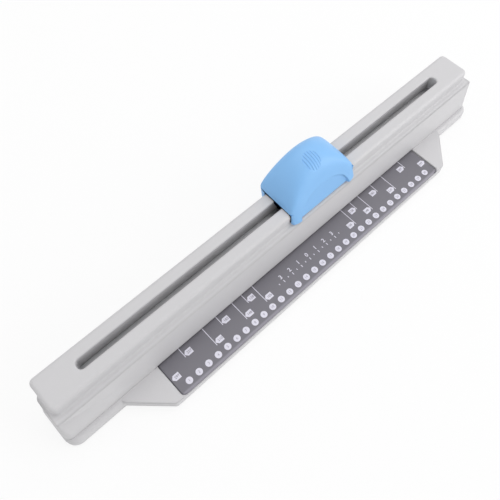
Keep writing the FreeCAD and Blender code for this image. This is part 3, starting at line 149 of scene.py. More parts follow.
class PunchHousing(bpy.types.PropertyGroup):
    foot: length("Foot", "Height of the housing's foot", 10.0)
    corner: length("Corner", "Radius of the back corners at the foot", 9.0)
    corner_x: length("Corner X", "X of the back corners' centres", 219.0)
    corner_y: length("Corner Y", "Y of the back corners' centres", 18.4)
    slope: FloatProperty(name="Slope", description="Slope of the housing's walls",
                         default=math.radians(7.0), subtype="ANGLE")
    fill_low: length("Fill low", "Where the full corner begins above the foot", 10.0)
    fill_high: length("Fill high", "Where the full corner ends above the foot", 17.0)
    fill_wall: length("Fill wall", "Wall of the full corner", 2.4)


class PunchSprings(bpy.types.PropertyGroup):
    radius: length("Radius", "Middle of the wire to the pin's axis", 3.5)
    wire: length("Wire", "Thickness of the spring wire", 0.55)
    low: length("Low", "Height of the channel that the springs stand on", 24.4)
    high: length("High", "Height of the pin heads' underside", 34.3)
    stroke: length("Stroke", "Way of a pin from rest to its lowest place", 3.0)
    hole_line: length("Hole line", "Y of the hole row", 16.5)
    turns: FloatProperty(name="Turns", description="Turns of the wire in one spring", default=7.0)


class PunchColours(bpy.types.PropertyGroup):
    grey: colour("Grey", "Light grey moulding", 208, 207, 209)
    blue: colour("Blue", "Light blue moulding", 136, 191, 243)
    plate: colour("Plate", "Printed guide plate", 109, 107, 115)
    ink: colour("Ink", "White print", 226, 224, 236)
    figures: colour("Figures", "Numbers on the white dots", 160, 158, 172)
    flag_figures: colour("Flag figures", "Numbers on the white flags", 108, 106, 118)
    black: colour("Black", "Black moulding", 42, 42, 45)


class PunchStage(bpy.types.PropertyGroup):
    focal: FloatProperty(name="Focal length", description="Lens of the camera", default=40.32,
                         subtype="DISTANCE_CAMERA")
    sky: FloatProperty(name="Sky", description="Strength of the even light", default=0.60)
    key: FloatProperty(name="Key", description="Power of the large lamp overhead", default=8.2,
                       subtype="POWER")
    fill: FloatProperty(name="Fill", description="Power of the lamp in front on the right", default=14.0,
                        subtype="POWER")
    side: FloatProperty(name="Side", description="Power of the lamp at the back left", default=1.5,
                        subtype="POWER")


# Shader maths written as sums

class Signal:
    """A node's output that takes part in sums."""

    def __init__(self, finish, socket):
        self.finish = finish
        self.socket = socket

    def maths(self, operation, left, right):
        return self.finish.node("ShaderNodeMath", {"operation": operation}, {0: left, 1: right})

    def __add__(self, other):
        return self.maths("ADD", self, other)

    def __rsub__(self, other):
        return self.maths("SUBTRACT", other, self)

    def __mul__(self, other):
        return self.maths("MULTIPLY", self, other)


class Finish:
    """One material and its nodes."""

    def __init__(self, name):
        self.material = bpy.data.materials.new(name)
        self.material.use_nodes = True
        self.tree = self.material.node_tree
        self.shader = self.tree.nodes["Principled BSDF"]

    def node(self, kind, settings, inputs, output=0):
        made = self.tree.nodes.new(kind)
        for name, setting in settings.items():
            if name == "stops":
                self.fill_ramp(made, setting)
            else:
                setattr(made, name, setting)
        for name, source in inputs.items():
            self.feed(made.inputs[name], source)
        return Signal(self, made.outputs[output])

    def fill_ramp(self, ramp, stops):
        elements = ramp.color_ramp.elements
        while len(elements) < len(stops):
            elements.new(0.5)
        for element, (place, shade) in zip(elements, stops):
            element.position = place
            element.color = (shade, shade, shade, 1.0)

    def feed(self, socket, source):
        if isinstance(source, Signal):
            self.tree.links.new(source.socket, socket)
        elif socket.type == "RGBA" and len(source) == 3:
            socket.default_value = (*source, 1.0)
        else:
            socket.default_value = source

    def set(self, **inputs):
        for name, source in inputs.items():
            self.feed(self.shader.inputs[name.replace("_", " ")], source)
        return self

    def place(self):
        return self.node("ShaderNodeTexCoord", {}, {}, "Object")

    def noise(self, scale, detail=2.0, roughness=0.5, vector=None):
        return self.node("ShaderNodeTexNoise", {}, {
            "Vector": vector or self.place(), "Scale": scale, "Detail": detail, "Roughness": roughness})

    def ramp(self, factor, *stops):
        return self.node("ShaderNodeValToRGB", {"stops": stops}, {"Fac": factor})

    def blend(self, factor, first, second):
        return self.node("ShaderNodeMix", {"data_type": "RGBA"},
                         {"Factor": factor, 6: first, 7: second}, 2)

    def rounded(self, radius):
        return self.node("ShaderNodeBevel", {"samples": 6}, {"Radius": radius})

    def bump(self, height, distance, strength=1.0, normal=None):
        inputs = {"Height": height, "Distance": distance, "Strength": strength}
        if normal is not None:
            inputs["Normal"] = normal
        return self.node("ShaderNodeBump", {}, inputs)

    def edge(self, radius):
        """1 along edges and 0 on flat faces: the mask for a painted highlight along edges."""
        turned = self.rounded(radius)
        plain = self.node("ShaderNodeNewGeometry", {}, {}, "Normal")
        along = self.node("ShaderNodeVectorMath", {"operation": "DOT_PRODUCT"},
                          {0: turned, 1: plain}, "Value")
        return self.ramp(1 - along, (0.01, 0.0), (0.22, 1.0))


def shade(tone, factor):
    return tuple(min(part * factor, 1.0) for part in tone)


def moulding_finish(name, tone, roughness, edge_radius, grain=2600.0, depth=0.02 * MM):
    finish = Finish(name)
    texture = finish.noise(grain, 3.0, 0.6)
    cloud = finish.noise(9.0, 2.0)
    mottle = finish.noise(160.0, 3.0, 0.65)
    tone_a = finish.blend(cloud, shade(tone, 0.975), shade(tone, 1.025))
    tone_b = finish.blend(mottle * 0.35, tone_a, shade(tone, 0.95))
    edge = finish.edge(edge_radius)
    # Painted highlight: edges are painted lighter than the faces.
    finish.set(Base_Color=finish.blend(edge * 0.35, tone_b, shade(tone, 1.12)),
               Roughness=mottle * 0.12 + (roughness - 0.06),
               Normal=finish.bump(texture, depth, 0.6, finish.rounded(edge_radius)))
    finish.shader.inputs["IOR"].default_value = 1.5
    return finish.material


def plate_finish(name, tone, front):
    finish = Finish(name)
    fleck = finish.noise(3800.0, 2.0, 0.7)
    cloud = finish.noise(14.0, 3.0)
    base = finish.blend(cloud, shade(tone, 0.94), shade(tone, 1.06))
    sparkle = finish.ramp(fleck, (0.56, 0.0), (0.72, 1.0))
    edge = finish.edge(0.3 * MM)
    along = finish.node("ShaderNodeSeparateXYZ", {}, {0: finish.place()}, "Y")
    # Painted highlight: a band along the plate's front edge is painted lighter, where its rounded edge would
    # catch the front light.
    front_edge_highlight = finish.node("ShaderNodeMapRange", {"interpolation_type": "SMOOTHSTEP"},
                         {"Value": along, "From Min": front + 2.9 * MM, "From Max": front + 1.3 * MM})
    # Painted shadow: the plate is painted darker towards the housing's front, where the housing shades it.
    gap_shadow = finish.node("ShaderNodeMapRange", {"interpolation_type": "SMOOTHSTEP"},
                      {"Value": along, "From Min": -11.0 * MM, "From Max": -6.5 * MM})
    base = finish.blend(gap_shadow * 0.7, base, shade(tone, 0.72))
    base = finish.blend(front_edge_highlight * 0.75, base, shade(tone, 2.0))
    # Painted highlight: edges are painted lighter, with the sparkle flecks on top.
    finish.set(Base_Color=finish.blend(edge * 0.5 + sparkle * 0.16, base, shade(tone, 1.9)),
               Roughness=fleck * 0.14 + 0.32,
               Normal=finish.bump(fleck, 0.015 * MM, 0.5, finish.rounded(0.3 * MM)))
    finish.shader.inputs["Coat Weight"].default_value = 0.15
    finish.shader.inputs["Coat Roughness"].default_value = 0.3
    return finish.material


def ink_finish(name, tone):
    finish = Finish(name)
    fleck = finish.noise(5200.0, 3.0, 0.7)
    wear = finish.ramp(finish.noise(900.0, 4.0, 0.75), (0.60, 0.0), (0.80, 1.0))
    finish.set(Base_Color=finish.blend(wear * 0.25, tone, shade(tone, 0.8)),
               Roughness=fleck * 0.2 + 0.38,
               Normal=finish.bump(fleck, 0.008 * MM, 0.5))
    return finish.material


def metal_finish(name, tone, roughness, stretch=(1.0, 1.0, 1.0), marks=1500.0):
    finish = Finish(name)
    along = finish.node("ShaderNodeVectorMath", {"operation": "MULTIPLY"},
                        {0: finish.place(), 1: stretch})
    brushed = finish.noise(marks, 4.0, 0.6, along)
    cloud = finish.noise(40.0, 3.0)
    edge = finish.edge(0.3 * MM)
    base = finish.blend(cloud, shade(tone, 0.85), shade(tone, 1.1))
    # Painted highlight: edges are painted lighter than the faces.
    finish.set(Base_Color=finish.blend(edge * 0.5, base, shade(tone, 1.35)),
               Roughness=brushed * 0.18 + (roughness - 0.09),
               Normal=finish.bump(brushed, 0.01 * MM, 0.6, finish.rounded(0.2 * MM)))
    finish.shader.inputs["Metallic"].default_value = 1.0
    return finish.material


def rubber_finish(name, tone):
    finish = Finish(name)
    grain = finish.noise(1800.0, 4.0, 0.7)
    dust = finish.ramp(finish.noise(120.0, 4.0, 0.7), (0.5, 0.0), (0.75, 1.0))
    finish.set(Base_Color=finish.blend(dust * 0.3, tone, shade(tone, 2.2)),
               Roughness=grain * 0.15 + 0.72,
               Normal=finish.bump(grain, 0.04 * MM, 0.7, finish.rounded(0.4 * MM)))
    return finish.material


# Pieces

def hole_place(number, pitch):
    """X of a hole, counted from 0 at the left."""
    return (number - (HOLES - 1) / 2) * pitch


def join_rings(made, rings):
    """Faces between each closed ring of corners and the next."""
    count = len(rings[0])
    for ring, following in zip(rings, rings[1:]):
        for i in range(count):
            j = (i + 1) % count
            made.faces.new((ring[i], ring[j], following[j], following[i]))


def dress(node, material):
    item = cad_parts[node]
    item.data.materials.clear()
    item.data.materials.append(material)


def new_piece(name, mesh_maker, material, body, smooth=False):
    mesh = bpy.data.meshes.new(name)
    made = bmesh.new()
    mesh_maker(made)
    bmesh.ops.recalc_face_normals(made, faces=made.faces)
    made.to_mesh(mesh)
    made.free()
    mesh.materials.append(material)
    if smooth:
        mesh.shade_smooth()
    item = bpy.data.objects.new(name, mesh)
    bpy.context.scene.collection.objects.link(item)
    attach(item, body)
    return item


def ink_patch(made, outline, low, thickness):
    """Adds a thin island of ink with a bevelled rim."""
    middle = sum((Vector(point) for point in outline), Vector((0, 0))) / len(outline)
    inset = thickness * 0.8
    rings = []
    levels = ((low - thickness * 0.3, 0.0), (low + thickness * 0.6, 0.0), (low + thickness, inset))
    for height, shrink in levels:
        ring = []
        for point in outline:
            away = Vector(point) - middle
            place = middle + away * (1 - shrink / max(away.length, shrink * 2))
            ring.append(made.verts.new((place.x, place.y, height)))
        rings.append(ring)
    join_rings(made, rings)
    made.faces.new(rings[-1])
    made.faces.new(list(reversed(rings[0])))


def circle_outline(x, y, radius, count=48):
    turns = [2 * math.pi * i / count for i in range(count)]
    return [(x + radius * math.cos(a), y + radius * math.sin(a)) for a in turns]


def add_figures(made, text, size, x, y, low, thickness, weight=0.0):
    """Adds the outline of a number, standing in the middle of (x, y)."""
    curve = bpy.data.curves.new("figures", "FONT")
    curve.body = text
    curve.size = size
    curve.extrude = thickness / 2
    curve.offset = weight
    curve.resolution_u = 4
    carrier = bpy.data.objects.new("figures", curve)
    mesh = bpy.data.meshes.new_from_object(carrier)
    low_x = min(vertex.co.x for vertex in mesh.vertices)
    high_x = max(vertex.co.x for vertex in mesh.vertices)
    low_y = min(vertex.co.y for vertex in mesh.vertices)
    high_y = max(vertex.co.y for vertex in mesh.vertices)
    shift = Vector((x - (low_x + high_x) / 2, y - (low_y + high_y) / 2, low + thickness / 2))
    mesh.transform(Matrix.Translation(shift))
    made.from_mesh(mesh)
    bpy.data.objects.remove(carrier)
    bpy.data.curves.remove(curve)
    bpy.data.meshes.remove(mesh)


def soft_step(value):
    value = min(max(value, 0.0), 1.0)
    return value * value * (3 - 2 * value)


def even_steps(first, last, count):
    return [first + (last - first) * step / count for step in range(count)]


def inset_ring(ring, amount):
    """Moves every point of a closed outline towards its inside."""
    area = sum(a.x * b.y - b.x * a.y for a, b in zip(ring, ring[1:] + ring[:1]))
    turn = 1 if area > 0 else -1
    moved = []
    for before, point, after in zip(ring[-1:] + ring[:-1], ring, ring[1:] + ring[:1]):
        first = (point - before).normalized()
        second = (after - point).normalized()
        inward = Vector((-first.y - second.y, first.x + second.x)) * turn
        if inward.length < 1e-6:
            inward = Vector((-first.y, first.x)) * turn
        inward.normalize()
        moved.append(point + inward * amount)
    return moved


def add_tube(made, x, y, low, high, outer, inner, count=40):
    """Adds a closed tube that stands along Z."""
    rings = []
    for radius, height in ((outer, low), (outer, high), (inner, high), (inner, low)):
        outline = circle_outline(x, y, radius, count)
        rings.append([made.verts.new((px, py, height)) for px, py in outline])
    join_rings(made, rings + rings[:1])


def quarter_levels(radius, count=6):
    """Heights that divide a quarter round evenly."""
    return [radius * (1 - math.cos(step * math.pi / 2 / count)) for step in range(count)]


def quarter_inset(height, radius):
    """How far a quarter round lies inside its wall at a height over its lower edge."""
    rest = max(radius - height, 0.0)
    return radius - math.sqrt(radius ** 2 - rest ** 2)


def averaging(places, reach):
    """Rows of shares that average neighbours within a reach and keep straight lines straight."""
    apart = places[None, :] - places[:, None]
    near = numpy.exp(-0.5 * (apart / reach) ** 2) * numpy.gradient(places)[None, :]
    total, lean, spread = ((near * apart ** power).sum(axis=1)[:, None] for power in (0, 1, 2))
    return near * (spread - apart * lean) / (total * spread - lean ** 2)


class SliderForm:
    """The dome slider as closed sections from end to end."""

    HIDDEN_STEP = 0.02 * MM
    LEAST_WALL = 0.15 * MM
    GRIP_REACH = 9 * MM
    ROOM_REACH = 22 * MM
    HARD_FOOT = 8 * MM
    HARD_END = 4 * MM
    RIDGE_SHARE = 0.05
    RIB_SIDE = 0.35 * MM
    GRIP_EDGE = 0.5 * MM
    HOOK_EDGE = 1 * MM
    BOSS_RADIUS = 3.5 * MM
    BOSS_BORE = 1.3 * MM
    BOSS_SINK = 0.2 * MM

    def __init__(self, sizes):
        self.sizes = sizes
        self.ridge_height = sizes.sole + sizes.crown - sizes.ridge_drop - sizes.foot
        self.slope = sizes.front_run / self.ridge_height

    def stations(self):
        sizes = self.sizes
        rim = sizes.half - sizes.end_round
        scoop_end = sizes.scoop_half + self.HOOK_EDGE
        right = even_steps(0.0, self.GRIP_REACH, 45)
        right += even_steps(self.GRIP_REACH, sizes.room_half, 8)
        right += even_steps(sizes.room_half, self.ROOM_REACH, 7)
        right += even_steps(self.ROOM_REACH, scoop_end, 24)
        right += even_steps(scoop_end, rim, 14)
        right += [rim + sizes.end_round * math.sin(step * math.pi / 16) for step in range(9)]
        right.append(sizes.room_half + self.HIDDEN_STEP)
        right.sort()
        return [-place for place in reversed(right[1:])] + right

    def rise(self, across):
        sizes = self.sizes
        share = min(abs(across) / sizes.half, 1.0)
        fall = (1 - share ** sizes.span_power) ** (1 / sizes.fall_power)
        return max(sizes.crown * fall, sizes.end_height)

    def back_turn(self, across):
        corner = self.sizes.corner
        reach = max(abs(across) - self.sizes.half + corner, 0.0)
        return corner - math.sqrt(max(corner ** 2 - reach ** 2, 0.0))

    def front_turn(self, across):
        start = self.sizes.brow_start
        share = min(max(abs(across) - start, 0.0) / (self.sizes.half - start), 1.0)
        return self.sizes.brow_turn * (1 - math.sqrt(1 - share ** 2))

    def brow(self, ridge, crown):
        knee = ridge.x + self.slope * (crown.y - ridge.y)
        fullness = self.sizes.brow_fullness
        first = ridge + Vector((knee - ridge.x, crown.y - ridge.y)) * fullness
        second = crown + Vector((knee - crown.x, 0.0)) * fullness
        points = []
        for share in even_steps(0.0, 1.0, 56):
            rest = 1 - share
            points.append(ridge * rest ** 3 + first * 3 * share * rest ** 2
                          + second * 3 * share ** 2 * rest + crown * share ** 3)
        return points

    def back(self, crown, hip):
        power = 2 / self.sizes.back_power
        points = []
        for turn in even_steps(0.0, math.pi / 2, 24):
            points.append(Vector((crown.x + (hip.x - crown.x) * math.sin(turn) ** power,
                                  hip.y + (crown.y - hip.y) * math.cos(turn) ** power)))
        return points

    def outline(self, across):
        """The outside from the front foot over the crown to the back wall's lower edge."""
        sizes = self.sizes
        rise = self.rise(across)
        share = rise / sizes.crown
        top = sizes.sole + rise
        foot = Vector((sizes.front + self.front_turn(across), sizes.foot))
        up = top - sizes.ridge_drop * share - sizes.foot
        levels = quarter_levels(sizes.foot_round) + even_steps(sizes.foot_round, up, 30)
        front = [foot + Vector((self.slope * level, level)) for level in levels]
        ridge = foot + Vector((self.slope * up, up))
        crown = Vector((sizes.crown_line, top))
        hip = Vector((sizes.back - self.back_turn(across), top - sizes.back_bend * share))
        toe = Vector((hip.x - sizes.back_tuck, sizes.skirt))
        drop = hip.y - toe.y
        levels = even_steps(drop, sizes.skirt_round, 16) + quarter_levels(sizes.skirt_round)[::-1]
        wall = [toe + (hip - toe) * (level / drop) for level in levels]
        return front + self.brow(ridge, crown) + self.back(crown, hip) + wall

    def softened(self, places):
        """Every station's outline, with its bends softened except along the lower edges and the ends."""
        sizes = self.sizes
        plain = numpy.array([[tuple(point) for point in self.outline(across)] for across in places])
        steps = numpy.linalg.norm(numpy.diff(plain[len(places) // 2], axis=0), axis=1)
        along = numpy.concatenate(([0.0], numpy.cumsum(steps)))
        soft = numpy.einsum("ab,bic->aic", averaging(numpy.array(places), sizes.softness), plain)
        soft = numpy.einsum("ij,ajc->aic", averaging(along, sizes.softness), soft)
        over_foot = numpy.clip((plain[:, :, 1] - sizes.foot) / self.HARD_FOOT, 0.0, 1.0)
        from_end = numpy.clip((sizes.half - numpy.abs(places)) / self.HARD_END, 0.0, 1.0)
        share = over_foot * from_end[:, None]
        return plain + (soft - plain) * share[:, :, None]

    def scooped(self, across, point):
        sizes = self.sizes
        up = (point.y - sizes.foot) / self.ridge_height
        edge = math.hypot(across / sizes.scoop_half, up)
        depth = sizes.scoop_depth * max(1 - up, 0.0) * soft_step((1 - edge) / self.RIDGE_SHARE)
        return point + Vector((depth, 0.0))

    def ribbed(self, across, point):
        sizes = self.sizes
        off = across - sizes.grip_shift
        around = math.hypot(off, point.x - sizes.grip_line)
        nearest = abs((abs(off) / sizes.rib_pitch) % 1.0 - 0.5) * sizes.rib_pitch
        groove = soft_step((sizes.groove_width / 2 - nearest) / self.RIB_SIDE + 0.5)
        inside = soft_step((sizes.grip_radius - around) / self.GRIP_EDGE)
        return point - Vector((0.0, sizes.groove_depth * groove * inside))

    def rounded_below(self, point):
        """Draws the lower edges of the feet and the back wall in to a quarter round."""
        sizes = self.sizes
        if point.x < sizes.crown_line:
            return point + Vector((quarter_inset(point.y - sizes.foot, sizes.foot_round), 0.0))
        return point - Vector((quarter_inset(point.y - sizes.skirt, sizes.skirt_round), 0.0))

    def outside(self, across, outline):
        points = []
        for pair in outline:
            point = Vector(pair)
            if point.x < self.sizes.crown_line:
                point = self.ribbed(across, self.scooped(across, point))
            points.append(self.rounded_below(point))
        return points

    def inside(self, across):
        sizes = self.sizes
        hook = sizes.hook_reach * soft_step((sizes.scoop_half - abs(across)) / self.HOOK_EDGE)
        hook += self.HIDDEN_STEP
        room = sizes.room_top if abs(across) <= sizes.room_half else sizes.sole + self.HIDDEN_STEP
        return [Vector(point) for point in (
            (sizes.inner_back, sizes.skirt), (sizes.inner_back, sizes.hook_low),
            (sizes.inner_back - hook, sizes.hook_low), (sizes.inner_back - hook, sizes.hook_high),
            (sizes.inner_back, sizes.hook_high), (sizes.inner_back, sizes.sole),
            (sizes.room_back, sizes.sole), (sizes.room_back, room), (sizes.room_front, room),
            (sizes.room_front, sizes.sole), (sizes.inner_front, sizes.sole),
            (sizes.inner_front, sizes.foot))]

    def section(self, across, outline):
        sizes = self.sizes
        outside, inside = self.outside(across, outline), self.inside(across)
        shrink = quarter_inset(sizes.half - abs(across), sizes.end_round)
        if shrink > 0.0:
            outside = inset_ring(outside + inside, shrink)[:len(outside)]
            for point in outside:
                if point.y < sizes.sole:
                    front = point.x < sizes.crown_line
                    point.x = (min(point.x, sizes.inner_front - self.LEAST_WALL) if front
                               else max(point.x, sizes.inner_back + self.LEAST_WALL))
            inside[0].y += min(shrink, (sizes.hook_low - sizes.skirt) / 2)
            inside[-1].y += shrink
        return outside + inside

    def draw(self, made):
        sizes = self.sizes
        places = self.stations()
        rings = []
        for across, outline in zip(places, self.softened(places)):
            rings.append([made.verts.new((sizes.middle + across, point.x, point.y))
                          for point in self.section(across, outline)])
        join_rings(made, rings)
        made.faces.new(rings[0])
        made.faces.new(list(reversed(rings[-1])))
        for side in (-1, 1):
            add_tube(made, sizes.middle + side * sizes.boss_place, sizes.hole_line, sizes.boss_low,
                     sizes.room_top + self.BOSS_SINK, self.BOSS_RADIUS, self.BOSS_BORE)


def even_shading(item, angle):
    """Smooth shading with crisp edges where two faces meet at more than the angle."""
    item.data.shade_smooth()
    item.data.set_sharp_from_angle(angle=math.radians(angle))
    weighted = item.modifiers.new("even_shading", "WEIGHTED_NORMAL")
    weighted.keep_sharp = True


# Sheet widths in millimetres that the flags stand for, and whether the flag stands in the front row
SHEET_WIDTHS = ((297, True), (257, False), (210, True), (182, False), (148, True), (128, False), (105, True))


class PUNCH_OT_mouldings(bpy.types.Operator):
    """Gives the base, the drawer, the carriage and the press roller their moulded plastic"""
    bl_idname = "punch.mouldings"
    bl_label = "Mouldings"

    def execute(self, context):
        tones = context.scene.punch_colours
        dress("base_shell", moulding_finish("grey_base_moulding", tuple(tones.grey), 0.46, 2.2 * MM))
        black = moulding_finish("black_moulding", tuple(tones.black), 0.5, 0.3 * MM)
        for node in ("slider_carriage", "drawer_floor", "drawer_rails", "drawer_front", "drawer_back"):
            dress(node, black)
        dress("press_roller", moulding_finish("roller_plastic", (0.75, 0.74, 0.70), 0.3, 0.3 * MM))
        return {"FINISHED"}


class PUNCH_OT_slider(bpy.types.Operator):
    """Forms the dome slider with its thumb scoop, ribbed grip and carriage room"""
    bl_idname = "punch.slider"
    bl_label = "Slider"

    def execute(self, context):
        blue = moulding_finish("blue_moulding", tuple(context.scene.punch_colours.blue), 0.42, 0.3 * MM)
        form = SliderForm(context.scene.punch_slider)
        item = new_piece("slider_dome", form.draw, blue, "slider")
        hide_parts("slider_shell")
        even_shading(item, 38)
        return {"FINISHED"}


class PUNCH_OT_housing(bpy.types.Operator):
    """Forms the housing, with its two sloped back corners full"""
    bl_idname = "punch.housing"
    bl_label = "Housing"
    WELD = 0.002 * MM
    FILL_DEPTH = 0.015 * MM
    FILL_FIRST, FILL_ARC = 25, 40

    def execute(self, context):
        sizes = context.scene.punch_housing
        grey = moulding_finish("grey_moulding", tuple(context.scene.punch_colours.grey), 0.46, 1.8 * MM)
        item = new_piece("housing_body", self.draw_body, grey, "base")
        fills = new_piece("corner_fills", lambda made: self.draw_fills(made, sizes), grey, "base")
        join = item.modifiers.new("full_corners", "BOOLEAN")
        join.operation = "UNION"
        join.solver = "EXACT"
        join.object = fills
        settled = item.evaluated_get(context.evaluated_depsgraph_get())
        item.data = bpy.data.meshes.new_from_object(settled)
        item.modifiers.clear()
        bpy.data.objects.remove(fills)
        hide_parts("upper_housing")
        even_shading(item, 24)
        return {"FINISHED"}

    def draw_body(self, made):
        made.from_mesh(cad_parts["upper_housing"].data)
        bmesh.ops.remove_doubles(made, verts=made.verts, dist=self.WELD)

    def draw_fills(self, made, sizes):
        """One curved wedge in each back corner, just under the housing's outside."""
        for side in (-1, 1):
            rings = []
            for step in range(8):
                up = sizes.fill_low + (sizes.fill_high - sizes.fill_low) * step / 7
                outer = sizes.corner - up * math.tan(sizes.slope) - self.FILL_DEPTH
                rings.append([made.verts.new((side * (sizes.corner_x + reach * math.cos(turn)),
                                              sizes.corner_y + reach * math.sin(turn), sizes.foot + up))
                              for reach, turn in self.fill_outline(outer, sizes.fill_wall)])
            join_rings(made, rings)
            made.faces.new(rings[0])
            made.faces.new(rings[-1])

    def fill_outline(self, outer, wall):
        turns = [math.radians(self.FILL_FIRST + self.FILL_ARC * step / 12) for step in range(13)]
        return ([(outer, turn) for turn in turns]
                + [(outer - wall, turn) for turn in reversed(turns)])


class PUNCH_OT_springs(bpy.types.Operator):
    """Winds the thirty return springs, each flattened by its own pin"""
    bl_idname = "punch.springs"
    bl_label = "Return springs"
    STEPS_PER_TURN = 16
    WIRE_SIDES = 7
    FLAT_TURNS = 0.6

    def execute(self, context):
        sizes = context.scene.punch_springs
        pitch = context.scene.punch_print.pitch
        steel = metal_finish("blued_wire", (0.30, 0.30, 0.31), 0.42)
        for number in range(HOLES):
            x = hole_place(number, pitch)
            item = new_piece("return_spring_%02d" % (number + 1),
                             lambda made: self.draw_spring(made, sizes, x), steel, "base",
                             True)
            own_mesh(item)
            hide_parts("return_springs")
        return {"FINISHED"}

    def draw_spring(self, made, sizes, x):
        """A wire that lies flat in its first and last turn and rises evenly between them."""
        half = sizes.wire / 2
        rise = sizes.high - sizes.low - 2 * half
        steps = int(sizes.turns * self.STEPS_PER_TURN)
        flat = 1 / sizes.turns
        rings = []
        for step in range(steps + 1):
            turn = 2 * math.pi * sizes.turns * step / steps
            along = (step / steps - flat * self.FLAT_TURNS) / (1 - flat * (2 * self.FLAT_TURNS))
            share = 0.5 * soft_step(along) + 0.5 * min(max(along, 0.0), 1.0)
            middle = sizes.low + half + rise * share
            ring = []
            for part in range(self.WIRE_SIDES):
                around = 2 * math.pi * part / self.WIRE_SIDES
                reach = sizes.radius + half * math.cos(around)
                ring.append(made.verts.new((x + reach * math.cos(turn),
                                            sizes.hole_line + reach * math.sin(turn),
                                            middle + half * math.sin(around))))
            rings.append(ring)
        join_rings(made, rings)
        made.faces.new(rings[0])
        made.faces.new(rings[-1])


class PUNCH_OT_metalwork(bpy.types.Operator):
    """Gives the plates, the channel, the strip, the pins and the screws their metal, and the feet rubber"""
    bl_idname = "punch.metalwork"
    bl_label = "Metalwork"

    def execute(self, context):
        steel = metal_finish("zinc_steel", (0.56, 0.56, 0.57), 0.34, (0.05, 1.0, 1.0))
        for node in ("die_plate", "paper_stop", "punch_channel", "die_set_screws", "housing_screws",
                     "carriage_screws", "strip_rivets", "roller_axle"):
            dress(node, steel)
        dress("press_strip", metal_finish("spring_steel", (0.44, 0.44, 0.45), 0.42, (0.03, 1.0, 1.0)))
        ground = metal_finish("ground_pin", (0.62, 0.62, 0.63), 0.26, (1.0, 1.0, 0.05))
        for number in range(HOLES):
            dress("punch_pin_%02d" % (number + 1), ground)
        dress("rubber_feet", rubber_finish("foot_rubber", (0.045, 0.045, 0.048)))
        return {"FINISHED"}


class PUNCH_OT_guide_print(bpy.types.Operator):
    """Prints the dots, the size flags, their lines and the middle scale on the guide plate"""
    bl_idname = "punch.guide_print"
    bl_label = "Guide print"
    DOT_FIGURE, FLAG_FIGURE, SCALE_FIGURE = 3.0 * MM, 2.9 * MM, 5.0 * MM
    LONG_TICK, SHORT_TICK = 2.2, 1.3
    LAST_TICK = 7
    OUTER_FLAG_SHIFT = 1.0 * MM

    def execute(self, context):
        tones = context.scene.punch_colours
        sizes = context.scene.punch_print
        dress("guide_plate", plate_finish("printed_plate", tuple(tones.plate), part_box("guide_plate")[0][1]))
        white = ink_finish("white_ink", tuple(tones.ink))
        faint = ink_finish("figure_ink", tuple(tones.figures))
        dark = ink_finish("flag_figure_ink", tuple(tones.flag_figures))
        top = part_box("guide_plate")[1][2]
        over = top + sizes.ink
        dots = [(hole_place(number, sizes.pitch), number + 1) for number in range(HOLES)]

        def draw_dots(made):
            for x, _ in dots:
                ink_patch(made, circle_outline(x, sizes.dot_line, sizes.dot_diameter / 2), top, sizes.ink)

        def draw_dot_figures(made):
            for x, number in dots:
                add_figures(made, str(number), self.DOT_FIGURE, x, sizes.dot_line, over, sizes.ink / 3)

        def draw_flags(made):
            for width, in_front in SHEET_WIDTHS:
                for side in (-1, 1):
                    self.flag(made, sizes, side, width, in_front, top)

        def draw_lines(made):
            for width, in_front in SHEET_WIDTHS[1:]:
                for side in (-1, 1):
                    x = side * width * MM / 2
                    half = sizes.line_width / 2
                    end = sizes.long_line if in_front else sizes.short_line
                    ink_patch(made, [(x - half, end), (x + half, end), (x + half, sizes.line_start),
                                     (x - half, sizes.line_start)], top, sizes.ink)

        def draw_flag_figures(made):
            for width, in_front in SHEET_WIDTHS:
                for side in (-1, 1):
                    x, y = self.flag_middle(sizes, side, width, in_front)
                    add_figures(made, str(width), self.FLAG_FIGURE, x, y, over, sizes.ink / 3)

        def draw_scale(made):
            for step in range(-self.LAST_TICK, self.LAST_TICK + 1):
                x = step * 5 * MM
                reach = (self.LONG_TICK if step % 2 == 0 else self.SHORT_TICK) * MM
                half = sizes.line_width * 0.6
                y = sizes.scale_line - 1.2 * MM
                ink_patch(made, [(x - half, y - reach), (x + half, y - reach), (x + half, y), (x - half, y)],
                          top, sizes.ink)
                if step % 2 == 0:
                    add_figures(made, str(abs(step) // 2), self.SCALE_FIGURE, x,
                                sizes.scale_line + 2.2 * MM, top, sizes.ink, 0.10 * MM)

        new_piece("guide_dots", draw_dots, white, "base")
        new_piece("guide_dot_numbers", draw_dot_figures, faint, "base")
        new_piece("guide_flags", draw_flags, white, "base")
        new_piece("guide_lines", draw_lines, white, "base")
        new_piece("guide_flag_numbers", draw_flag_figures, dark, "base")
        new_piece("guide_scale", draw_scale, white, "base")
        return {"FINISHED"}

    def flag_middle(self, sizes, side, width, in_front):
        outermost = width == SHEET_WIDTHS[0][0]
        back = sizes.flag_back + self.OUTER_FLAG_SHIFT if outermost else sizes.flag_back
        return side * (width * MM / 2 - back), sizes.low_row if in_front else sizes.high_row

    def flag(self, made, sizes, side, width, in_front, top):
        x, y = self.flag_middle(sizes, side, width, in_front)
        half = sizes.flag_side / 2
        point = half + sizes.flag_point
        tip = half * 0.15
        outline = [(x - side * half, y - half), (x + side * half, y - half), (x + side * point, y - tip),
                   (x + side * point, y + tip), (x + side * half, y + half), (x - side * half, y + half)]
        ink_patch(made, outline, top, sizes.ink)


